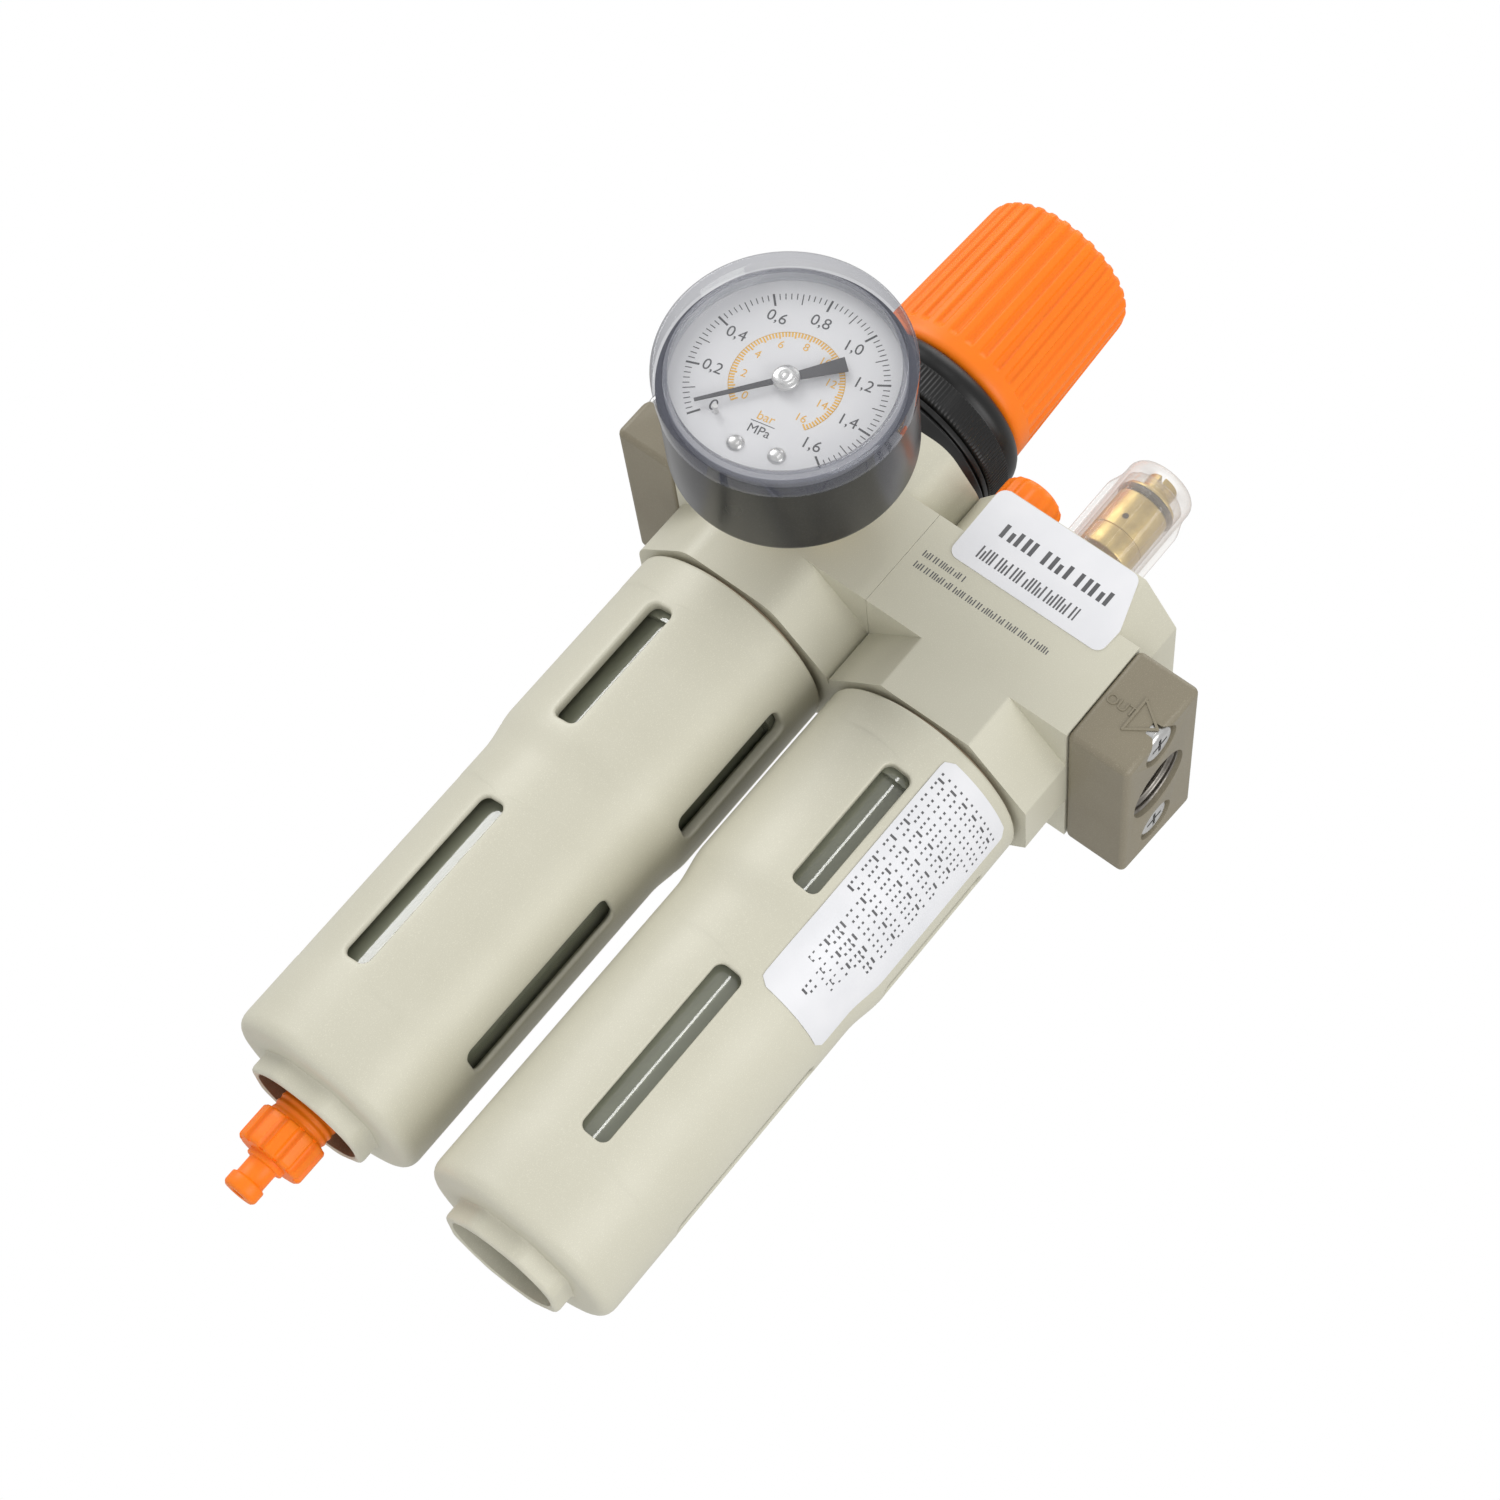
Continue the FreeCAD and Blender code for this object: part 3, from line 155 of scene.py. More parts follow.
def paintedCast(name, look):
    # sprayed die-casting: fine orange peel, pearly flake and cloudy tint
    f = Finish(name)
    clouds = f.speckle(look["cloudSize"], 2.0)
    flake = f.speckle(look["flakeSize"], 1.0)
    peel = f.speckle(look["peelSize"], 2.0)
    base = f.mix(look["colour"], look["deep"], f.clamped(clouds, 0.35, 0.75) * look["cloudDepth"])
    base = f.mix(base, look["flake"], f.clamped(flake, 0.56, 0.72) * look["flakeDepth"])
    f.shade({
        "Base Color": base,
        "Metallic": look["metal"],
        "Roughness": look["rough"] + 0.12 * clouds,
        "Coat Weight": look["coat"],
        "Coat Roughness": 0.25,
        "Normal": f.bump(peel + 0.35 * flake, look["peelDepth"], 0.35),
    })
    return f.material


def mouldedPlastic(name, look):
    # injection moulding: faint flow marks, spark-eroded grain, a few dull scuffs
    f = Finish(name)
    flow = f.speckle(look["flowSize"], 2.0, (1.0, 1.0, 0.35))
    grain = f.speckle(look["grainSize"], 2.0)
    scuff = f.clamped(f.speckle(look["scuffSize"], 5.0, (1.0, 1.0, 0.25)), 0.62, 0.78)
    base = f.mix(look["colour"], look["deep"], f.clamped(flow, 0.3, 0.75) * look["flowDepth"])
    base = f.mix(base, look["scuff"], scuff * look["scuffDepth"])
    f.shade({
        "Base Color": base,
        "Roughness": look["rough"] + 0.14 * scuff + 0.06 * grain,
        "Subsurface Weight": look.get("glow", 0.0),
        "Subsurface Radius": (1.0, 0.35, 0.1),
        "Subsurface Scale": 0.001,
        "Specular IOR Level": look.get("gloss", 0.5),
        "Normal": f.bump(grain, look["grainDepth"], 0.3),
    })
    return f.material


def clearPlastic(name, look):
    # clear polycarbonate: faint draw lines and hazy patches from handling
    f = Finish(name)
    haze = f.speckle(look["hazeSize"], 3.0)
    draw = f.speckle(0.9, 2.0, (1.0, 1.0, 0.05))
    f.shade({
        "Base Color": f.mix(look["colour"], look["deep"], f.clamped(haze, 0.3, 0.8)),
        "Roughness": look["rough"] + 0.05 * f.clamped(haze, 0.5, 0.8),
        "Transmission Weight": look["clear"],
        "IOR": look["bend"],
        "Specular IOR Level": look.get("gloss", 0.5),
        "Coat Weight": look.get("coat", 0.0),
        "Normal": f.bump(draw, look["drawDepth"], 0.25),
    })
    return f.material


def thinClear(name, look):
    # thin clear moulding: faint when faced, hazy where handled; towards its edges the colour turns to the darker
    # deep colour and grows more opaque, a painted grazing-angle shade standing in for refraction and reflection
    f = Finish(name)
    haze = f.speckle(look["hazeSize"], 3.0)
    # painted shade: the facing mask below blends to the darker deep colour at grazing angles and makes the edges
    # more opaque
    edge = f.add("ShaderNodeLayerWeight", {}, {"Blend": look["edgeBlend"]}, 1)
    f.shade({
        "Base Color": f.mix(look["colour"], look["deep"], edge),
        "Roughness": look["rough"] + 0.08 * f.clamped(haze, 0.5, 0.8),
        "Coat Weight": 0.6,
        "Specular IOR Level": 0.8,
        "Alpha": look["faint"] + look["grazingOpacity"] * edge * edge + 0.04 * haze,
        "Normal": f.bump(haze, look["waveDepth"], 0.2),
    })
    return f.material


def bareMetal(name, look):
    # turned or plated metal: lathe lines round the axis and stains
    f = Finish(name)
    lines = f.speckle(look["lineSize"], 2.0, look.get("lay", (0.15, 0.15, 1.0)))
    stain = f.speckle(look["stainSize"], 4.0)
    base = f.mix(look["colour"], look["deep"], f.clamped(stain, 0.42, 0.72) * look["stainDepth"])
    f.shade({
        "Base Color": base,
        "Metallic": 1.0,
        "Roughness": look["rough"] + 0.18 * lines + 0.1 * f.clamped(stain, 0.5, 0.8),
        "Normal": f.bump(lines, look["lineDepth"], 0.3),
    })
    return f.material


def rubberRing(name, look):
    f = Finish(name)
    bloom = f.speckle(1.6, 4.0)
    f.shade({
        "Base Color": f.mix(look["colour"], look["bloom"], f.clamped(bloom, 0.45, 0.8)),
        "Roughness": 0.55 + 0.2 * bloom,
        "Normal": f.bump(f.speckle(0.12, 2.0), 0.01, 0.3),
    })
    return f.material


def printedSheet(name, look):
    # coated paper or enamelled sheet with a soft fibre or spray texture
    f = Finish(name)
    fibre = f.speckle(look["fibre"], 4.0)
    tone = f.speckle(9.0, 2.0)
    f.shade({
        "Base Color": f.mix(look["colour"], look["deep"], f.clamped(tone, 0.3, 0.8)),
        "Roughness": look["rough"] + 0.1 * fibre,
        "Normal": f.bump(fibre, 0.006, 0.3),
    })
    return f.material


castLook = {"cloudSize": 14, "flakeSize": 0.16, "peelSize": 0.55, "peelDepth": 0.025, "cloudDepth": 0.35,
            "flakeDepth": 0.55, "metal": 0.04, "rough": 0.44, "coat": 0.06}
plasticLook = {"flowSize": 9, "grainSize": 0.22, "grainDepth": 0.012, "scuffSize": 5, "flowDepth": 0.5,
               "scuffDepth": 0.25, "rough": 0.34}
finishes = {
    "creamPaint": paintedCast("creamPaint", {**castLook, "colour": (0.605, 0.585, 0.475),
                              "deep": (0.55, 0.53, 0.42), "flake": (0.74, 0.72, 0.60)}),
    "taupePaint": paintedCast("taupePaint", {**castLook, "colour": (0.238, 0.208, 0.145),
                              "deep": (0.2, 0.172, 0.12), "flake": (0.36, 0.325, 0.24), "rough": 0.46}),
    "gaugeShell": paintedCast("gaugeShell", {**castLook, "colour": (0.03, 0.03, 0.032),
                              "deep": (0.022, 0.022, 0.024), "flake": (0.075, 0.075, 0.08), "metal": 0.4,
                              "rough": 0.24, "coat": 0.3, "peelDepth": 0.008}),
    "brownMetal": paintedCast("brownMetal", {**castLook, "colour": (0.36, 0.27, 0.18),
                               "deep": (0.25, 0.18, 0.12), "flake": (0.5, 0.42, 0.32), "cloudSize": 5,
                               "cloudDepth": 0.8, "metal": 0.5, "rough": 0.5}),
    "orangePlastic": mouldedPlastic("orangePlastic", {**plasticLook, "colour": (1.0, 0.222, 0.005),
                                    "deep": (0.95, 0.18, 0.003), "scuff": (1.0, 0.32, 0.04),
                                    "glow": 0.1, "rough": 0.42, "gloss": 0.35}),
    "blackPlastic": mouldedPlastic("blackPlastic", {**plasticLook, "colour": (0.011, 0.011, 0.011),
                                   "deep": (0.007, 0.007, 0.007), "scuff": (0.05, 0.05, 0.05),
                                                    "gloss": 0.35}),
    "greyPlastic": mouldedPlastic("greyPlastic", {**plasticLook, "colour": (0.16, 0.16, 0.17),
                                  "deep": (0.11, 0.11, 0.12), "scuff": (0.26, 0.26, 0.27)}),
    "whiteElement": mouldedPlastic("whiteElement", {**plasticLook, "colour": (0.82, 0.82, 0.80),
                                   "deep": (0.72, 0.72, 0.70), "scuff": (0.6, 0.6, 0.58),
                                                    "grainSize": 0.35,
                                   "grainDepth": 0.08, "rough": 0.75}),
    "clearBowl": clearPlastic("clearBowl", {"colour": (0.50, 0.52, 0.40), "deep": (0.42, 0.44, 0.33),
                                            "gloss": 0.9,
                              "rough": 0.03, "clear": 0.55, "bend": 1.5, "hazeSize": 12,
                                            "drawDepth": 0.006,
                              "coat": 1.0}),
    # thin clear finishes: their deep colours are painted edge shade, shown at grazing angles
    "clearDome": thinClear("clearDome", {"colour": (0.93, 0.88, 0.80), "deep": (0.50, 0.37, 0.29),
                                         "rough": 0.05,
                           "faint": 0.1, "grazingOpacity": 0.75, "edgeBlend": 0.4, "hazeSize": 3,
                                         "waveDepth": 0.02}),
    "clearLens": thinClear("clearLens", {"colour": (0.86, 0.87, 0.92), "deep": (0.24, 0.25, 0.29),
                                         "rough": 0.03,
                           "faint": 0.03, "grazingOpacity": 0.85, "edgeBlend": 0.35, "hazeSize": 9,
                                         "waveDepth": 0.004}),
    "lensRim": thinClear("lensRim", {"colour": (0.20, 0.21, 0.27), "deep": (0.03, 0.03, 0.04),
                                     "rough": 0.05,
                         "faint": 0.26, "grazingOpacity": 0.62, "edgeBlend": 0.4, "hazeSize": 4,
                                     "waveDepth": 0.01}),
    "brass": bareMetal("brass", {"colour": (0.64, 0.48, 0.18), "deep": (0.44, 0.31, 0.10),
                                 "lineSize": 0.25,
                       "stainSize": 2.5, "stainDepth": 0.7, "rough": 0.28, "lineDepth": 0.01}),
    "zinc": bareMetal("zinc", {"colour": (0.75, 0.75, 0.74), "deep": (0.5, 0.49, 0.47), "lineSize": 0.3,
                      "stainSize": 2.2, "stainDepth": 0.6, "rough": 0.2, "lineDepth": 0.01}),
    "springSteel": bareMetal("springSteel", {"colour": (0.5, 0.5, 0.5), "deep": (0.32, 0.31, 0.3),
                             "lineSize": 0.4, "stainSize": 3, "stainDepth": 0.5, "rough": 0.28,
                             "lineDepth": 0.008}),
    "threadMetal": bareMetal("threadMetal", {"colour": (0.34, 0.32, 0.29), "deep": (0.2, 0.18, 0.16),
                             "lineSize": 0.5, "stainSize": 2, "stainDepth": 0.8, "rough": 0.34,
                             "lineDepth": 0.02}),
    "rubber": rubberRing("rubber", {"colour": (0.012, 0.012, 0.012), "bloom": (0.045, 0.045, 0.045)}),
    "dialWhite": printedSheet("dialWhite", {"colour": (0.80, 0.80, 0.81), "deep": (0.75, 0.75, 0.765),
                              "fibre": 0.3, "rough": 0.5}),
    "labelWhite": printedSheet("labelWhite", {"colour": (0.80, 0.80, 0.82), "deep": (0.74, 0.745, 0.77),
                               "fibre": 0.15, "rough": 0.3}),
    "blackInk": printedSheet("blackInk", {"colour": (0.03, 0.03, 0.032), "deep": (0.06, 0.06, 0.062),
                             "fibre": 0.2, "rough": 0.5}),
    "greyInk": printedSheet("greyInk", {"colour": (0.085, 0.085, 0.09), "deep": (0.13, 0.13, 0.135),
                            "fibre": 0.2, "rough": 0.5}),
    "innerGrey": printedSheet("innerGrey", {"colour": (0.50, 0.51, 0.54), "deep": (0.42, 0.43, 0.46),
                              "fibre": 0.5, "rough": 0.45}),
    "amberInk": printedSheet("amberInk", {"colour": (0.82, 0.43, 0.015), "deep": (0.90, 0.52, 0.04),
                             "fibre": 0.2, "rough": 0.5}),
    "pointerBlack": printedSheet("pointerBlack", {"colour": (0.028, 0.028, 0.03), "deep": (0.05, 0.05,
            0.052),
                                 "fibre": 0.3, "rough": 0.4}),
}
print("finishes made")


# mesh tools
def rounded(points, steps=4, closed=True):
    # corners given as (a, b, radius) become arcs of so many steps
    result = []
    count = len(points)
    for index, point in enumerate(points):
        here = Vector(point[:2])
        radius = point[2] if len(point) > 2 else 0
        if radius <= 0 or (not closed and index in (0, count - 1)):
            result.append(here)
            continue
        back = Vector(points[index - 1][:2]) - here
        ahead = Vector(points[(index + 1) % count][:2]) - here
        half = back.angle(ahead) / 2
        reach = min(radius / math.tan(half), 0.48 * back.length, 0.48 * ahead.length)
        start = here + back.normalized() * reach
        stop = here + ahead.normalized() * reach
        for step in range(steps + 1):
            t = step / steps
            result.append(start * (1 - t) ** 2 + here * 2 * t * (1 - t) + stop * t ** 2)
    return [(p.x, p.y) for p in result]


def upright(x, y=0.0):
    # radius, height and angle about an upright axis
    return lambda r, h, a: Vector((x + r * math.cos(a), y + r * math.sin(a), h)) * mm


def facing(x, z):
    # radius, depth and angle about an axis that runs front to back
    return lambda r, h, a: Vector((x + r * math.cos(a), h, z + r * math.sin(a))) * mm


def sideways(y, z):
    return lambda r, h, a: Vector((h, y + r * math.cos(a), z + r * math.sin(a))) * mm


def turned(points, place, segments=96, shape=None):
    # closed outline of (radius, height), swept round an axis; shape(r, h, a) may vary the radius
    bm = bmesh.new()
    rings = []
    for r, h in points:
        if r <= 1e-6:
            rings.append([bm.verts.new(place(0, h, 0))] * segments)
            continue
        ring = []
        for step in range(segments):
            angle = 2 * math.pi * step / segments
            ring.append(bm.verts.new(place(shape(r, h, angle) if shape else r, h, angle)))
        rings.append(ring)
    for index, ring in enumerate(rings):
        other = rings[(index + 1) % len(rings)]
        for step in range(segments):
            corners = []
            ahead = (step + 1) % segments
            for vert in (ring[step], ring[ahead], other[ahead], other[step]):
                if vert not in corners:
                    corners.append(vert)
            if len(corners) > 2:
                bm.faces.new(corners)
    bmesh.ops.recalc_face_normals(bm, faces=bm.faces)
    return bm


def prism(points, low, high, place):
    # polygon of (a, b) points pushed from low to high
    bm = bmesh.new()
    bottom = [bm.verts.new(Vector(place(a, b, low)) * mm) for a, b in points]
    top = [bm.verts.new(Vector(place(a, b, high)) * mm) for a, b in points]
    bm.faces.new(bottom)
    bm.faces.new(top)
    for index in range(len(points)):
        ahead = (index + 1) % len(points)
        bm.faces.new((bottom[index], bottom[ahead], top[ahead], top[index]))
    bmesh.ops.recalc_face_normals(bm, faces=bm.faces)
    return bm


def made(bm, name, sharp=35):
    # mesh object with smooth faces and edges kept crisp above an angle
    limit = math.radians(sharp)
    for face in bm.faces:
        face.smooth = True
    for edge in bm.edges:
        edge.smooth = len(edge.link_faces) == 2 and edge.calc_face_angle(0) < limit
    mesh = bpy.data.meshes.new(name)
    bm.to_mesh(mesh)
    bm.free()
    thing = bpy.data.objects.new(name, mesh)
    bpy.context.scene.collection.objects.link(thing)
    return thing


def joined(parts):
    # one bmesh out of several
    whole = bmesh.new()
    for part in parts:
        mesh = bpy.data.meshes.new("part")
        part.to_mesh(mesh)
        part.free()
        whole.from_mesh(mesh)
        bpy.data.meshes.remove(mesh)
    return whole


def carved(base, tools, operation):
    # booleans worked out and applied; the tools are used up
    for tool in tools:
        cut = base.modifiers.new("cut", "BOOLEAN")
        cut.operation = operation
        cut.solver = "EXACT"
        cut.object = tool
    graph = bpy.context.evaluated_depsgraph_get()
    mesh = bpy.data.meshes.new_from_object(base.evaluated_get(graph))
    base.modifiers.clear()
    base.data = mesh
    for tool in tools:
        bpy.data.objects.remove(tool)
    return base


def eased(thing, width, steps=3, angle=30):
    # bevelled edges
    bevel = thing.modifiers.new("eased", "BEVEL")
    bevel.width = width * mm
    bevel.segments = steps
    bevel.limit_method = "ANGLE"
    bevel.angle_limit = math.radians(angle)
    bevel.harden_normals = True
    bevel.use_clamp_overlap = True
    for face in thing.data.polygons:
        face.use_smooth = True
    return thing


def wording(text, size, place, depth):
    # raised lettering that faces the front, centred on a place
    curve = bpy.data.curves.new("wording", "FONT")
    curve.body = text
    curve.size = size * mm
    curve.align_x = "CENTER"
    curve.align_y = "CENTER"
    curve.extrude = depth * mm
    curve.offset = 0.0
    thing = bpy.data.objects.new("wording", curve)
    bpy.context.scene.collection.objects.link(thing)
    bpy.context.view_layer.update()
    graph = bpy.context.evaluated_depsgraph_get()
    mesh = bpy.data.meshes.new_from_object(thing.evaluated_get(graph))
    bpy.data.objects.remove(thing)
    mesh.transform(place @ Matrix.Rotation(math.pi / 2, 4, "X"))
    bm = bmesh.new()
    bm.from_mesh(mesh)
    bpy.data.meshes.remove(mesh)
    return bm


def dressed(thing, body, finish, hides=()):
    thing.data.materials.clear()
    thing.data.materials.append(finishes[finish])
    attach(thing, body)
    if hides:
        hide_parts(*hides)
    return thing


# housings
housingLook = {"neckCutX": 6.4, "neckCutY": 9.1, "skirtCut": 11.2, "filterRound": 6.0,
               "lubricatorRound": 0.9, "edge": 0.55, "bore": 14.6}


def bossOutline(x, cutX, cutY, rounding):
    deep = -row["front"]
    corners = [(x - 20 + cutX, -deep), (x + 20 - cutX, -deep), (x + 20, -deep + cutY),
               (x + 20, deep - cutY),
               (x + 20 - cutX, deep), (x - 20 + cutX, deep), (x - 20, deep - cutY),
               (x - 20, -deep + cutY)]
    return rounded([(a, b, rounding) for a, b in corners], 6)


def rowSection(low, high, inset=0.0):
    corners = [(row["front"] + inset, row["blockLow"] + inset), (row["backLow"] - inset,
            row["blockLow"] + inset),
               (row["backHigh"] - inset, row["blockTop"] - inset), (row["front"] + inset,
                       row["blockTop"] - inset)]
    return prism(corners, low, high, lambda a, b, c: (c, a, b))


def housing(name, x, rounding, bores):
    up = lambda a, b, c: (a, b, c)
    neck = bossOutline(x, housingLook["neckCutX"], housingLook["neckCutY"], rounding)
    skirt = bossOutline(x, housingLook["skirtCut"], housingLook["skirtCut"], rounding)
    block = made(rowSection(x - 19.97, x + 19.97), name)
    tools = [made(prism(neck, 0, row["neckTop"], up), "neck"), made(prism(skirt, row["skirtLow"], 0, up),
            "skirt")]
    block = carved(block, tools, "UNION")
    cuts = [made(turned([(r, low), (r, high), (0, high), (0, low)], upright(bx, by), 96), "bore")
            for r, low, high, bx, by in bores]
    block = carved(block, cuts, "DIFFERENCE")
    return eased(block, housingLook["edge"], 3, 28)


def spigot(name, x):
    # threaded neck that the guard screws on
    outline = [(14.6, -28.6), (15.9, -28.6), (16.4, -28.1)]
    pitch, steps = 1.5, 8
    for index in range(int(7.4 / pitch * steps)):
        z = -28.0 + index * pitch / steps
        outline.append((16.4, z))
    outline += [(16.4, -19.7), (14.6, -19.7)]

    def threaded(r, h, a):
        if r < 16.3 or h < -28.0 or h > -20.4:
            return r
        return 16.05 + 0.4 * math.cos(2 * math.pi * (h / pitch) + a)
    return made(turned(outline, upright(x), 120, threaded), name, 60)


lubX, filX = row["lubricatorX"], row["filterX"]
dressed(housing("filterHousing", filX, housingLook["filterRound"],
                [(14.6, -25.0, -14.0, filX, 0), (15.9, 14.6, 25.0, filX, 0)]),
        "body", "creamPaint", ["filter_regulator_housing"])
dressed(housing("lubricatorHousing", lubX, housingLook["lubricatorRound"],
                [(14.6, -25.0, -14.0, lubX, 0), (6.5, 15.2, 25.0, lubX, 0), (3.5, 11.0, 25.0, lubX - 13.0,
                        -7.2)]),
        "body", "creamPaint", ["lubricator_housing"])
dressed(spigot("filterSpigot", filX), "body", "brownMetal")
dressed(spigot("lubricatorSpigot", lubX), "body", "brownMetal")
print("housings made")


# port plates
portLook = {"bore": 6.55, "crest": 5.75, "pitch": 1.337, "depth": 10.5, "recess": 4.0, "recessDepth": 2.5,
            "screwY": 13.8, "edge": 1.15}


def portPlate(name, inner, outer):
    side = 1 if outer > inner else -1
    plate = made(rowSection(min(inner, outer), max(inner, outer)), name)
    ease = eased(plate, portLook["edge"], 4, 30)
    graph = bpy.context.evaluated_depsgraph_get()
    mesh = bpy.data.meshes.new_from_object(ease.evaluated_get(graph))
    plate.modifiers.clear()
    plate.data = mesh
    cuts = []
    for r, depth, y in ((portLook["bore"] + 0.02, portLook["depth"], 0), (5.0, 13.0, 0),
                        (portLook["recess"], portLook["recessDepth"], -portLook["screwY"]),
                        (portLook["recess"], portLook["recessDepth"], portLook["screwY"])):
        a, b = outer + side * 1.0, outer - side * depth
        cuts.append(made(turned([(r, a), (r, b), (0, b), (0, a)], sideways(y, 0), 72), "bore"))
    plate = carved(plate, cuts, "DIFFERENCE")
    return eased(plate, 0.22, 2, 40)


def portThread(name, inner, outer):
    side = 1 if outer > inner else -1
    pitch, steps, crest = portLook["pitch"], 8, portLook["crest"]
    outline = [(6.56, outer - side * 0.9)]
    count = int((portLook["depth"] - 1.4) / pitch * steps)
    for index in range(count):
        outline.append((crest, outer - side * (0.95 + index * pitch / steps)))
    outline += [(6.56, outer - side * 10.45)]

    def threaded(r, h, a):
        if r > 6.5:
            return r
        lead = min(1.0, max(0.0, (side * (outer - h) - 0.9) / 1.0))
        wave = 0.5 + 0.5 * math.cos(2 * math.pi * h / pitch - a)
        return 6.5 - (6.5 - crest) * lead * wave
    return made(turned(outline, sideways(0, 0), 96, threaded), name, 70)


for name, inner, outer, node in (("inletPlate", 12.0, 0.0, "inlet_plate"), ("outletPlate", 92.0, 104.0,
        "outlet_plate")):
    dressed(portPlate(name, inner, outer), "body", "taupePaint", [node])
    dressed(portThread(name + "Thread", inner, outer), "body", "threadMetal")

arrowLook = {"base": 98.3, "tip": 102.8, "middle": 0.4, "half": 3.2, "line": 0.42, "height": 0.16,
             "word": "OUT", "wordX": 95.7, "wordSize": 2.6}


def flowArrow():
    # raised outline of an arrow head after a raised word, on the outlet plate's front
    a = arrowLook
    path = [(a["base"], a["middle"] - a["half"]), (a["tip"], a["middle"]),
            (a["base"], a["middle"] + a["half"])]
    bars = []
    for index, (start, stop) in enumerate(zip(path, path[1:] + path[:1])):
        p, q = Vector(start), Vector(stop)
        along = (q - p).normalized() * a["line"] / 2
        across = Vector((-along.y, along.x))
        corners = [p - along - across, q + along - across, q + along + across, p - along + across]
        bars.append(prism([tuple(c) for c in corners], row["front"] - a["height"] - 0.02 * index,
                          row["front"] + 0.1,
                          lambda u, v, w: (u, w, v)))
    spot = Vector((a["wordX"], row["front"], a["middle"])) * mm
    bars.append(wording(a["word"], a["wordSize"], Matrix.Translation(spot), a["height"]))
    return made(joined(bars), "flowArrow")


dressed(flowArrow(), "body", "taupePaint")
print("plates made")


# bowl guards
guardLook = {"upper": 18.7, "lower": 17.7, "inside": 15.8, "threadBore": 16.6, "top": -20.6,
             "stepTop": -54.6,
             "stepLow": -62.6, "slotWidth": 5.0, "slotCorner": 1.5, "upperSlot": (-29.4, -54.5),
             "lowerSlot": (-71.3, -105.0), "slotEdge": 0.5, "columns": 28, "rows": 44,
             "flats": 10.75, "bossRound": 11.3, "end": -126.2, "mouth": 9.8}


def guardOuter(z):
    t = min(1.0, max(0.0, (guardLook["stepTop"] - z) / (guardLook["stepTop"] - guardLook["stepLow"])))
    return guardLook["upper"] + (guardLook["lower"] - guardLook["upper"]) * t * t * (3 - 2 * t)


def slotOutline(high, low, offset):
    # points round a slot, in step with the border of the cell it sits in
    half, corner = guardLook["slotWidth"] / 2 + offset, guardLook["slotCorner"] + offset
    high, low = high + offset, low - offset
    centres = [(-half + corner, high - corner, 135), (half - corner, high - corner, 45),
               (half - corner, low + corner, -45), (-half + corner, low + corner, -135)]
    points = []
    for side, (cx, cz, start) in enumerate(centres):
        count = guardLook["columns"] if side % 2 == 0 else guardLook["rows"]
        nx, nz, _ = centres[(side + 1) % 4]
        arc = 4
        for step in range(arc):
            a = math.radians(start - 45 * step / arc)
            points.append((cx + corner * math.cos(a), cz + corner * math.sin(a)))
        edge = math.radians(start - 45)
        p = (cx + corner * math.cos(edge), cz + corner * math.sin(edge))
        q = (nx + corner * math.cos(edge), nz + corner * math.sin(edge))
        for step in range(count - 2 * arc):
            t = step / (count - 2 * arc)
            points.append((p[0] + (q[0] - p[0]) * t, p[1] + (q[1] - p[1]) * t))
        for step in range(arc):
            a = math.radians(start - 45 - 45 * step / arc)
            points.append((nx + corner * math.cos(a), nz + corner * math.sin(a)))
    return points


def cellBorder(high, low):
    points = []
    m, k = guardLook["columns"], guardLook["rows"]
    points += [(-45 + 90 * i / m, high) for i in range(m)]
    points += [(45, high + (low - high) * i / k) for i in range(k)]
    points += [(45 - 90 * i / m, low) for i in range(m)]
    points += [(-45, low + (high - low) * i / k) for i in range(k)]
    return points


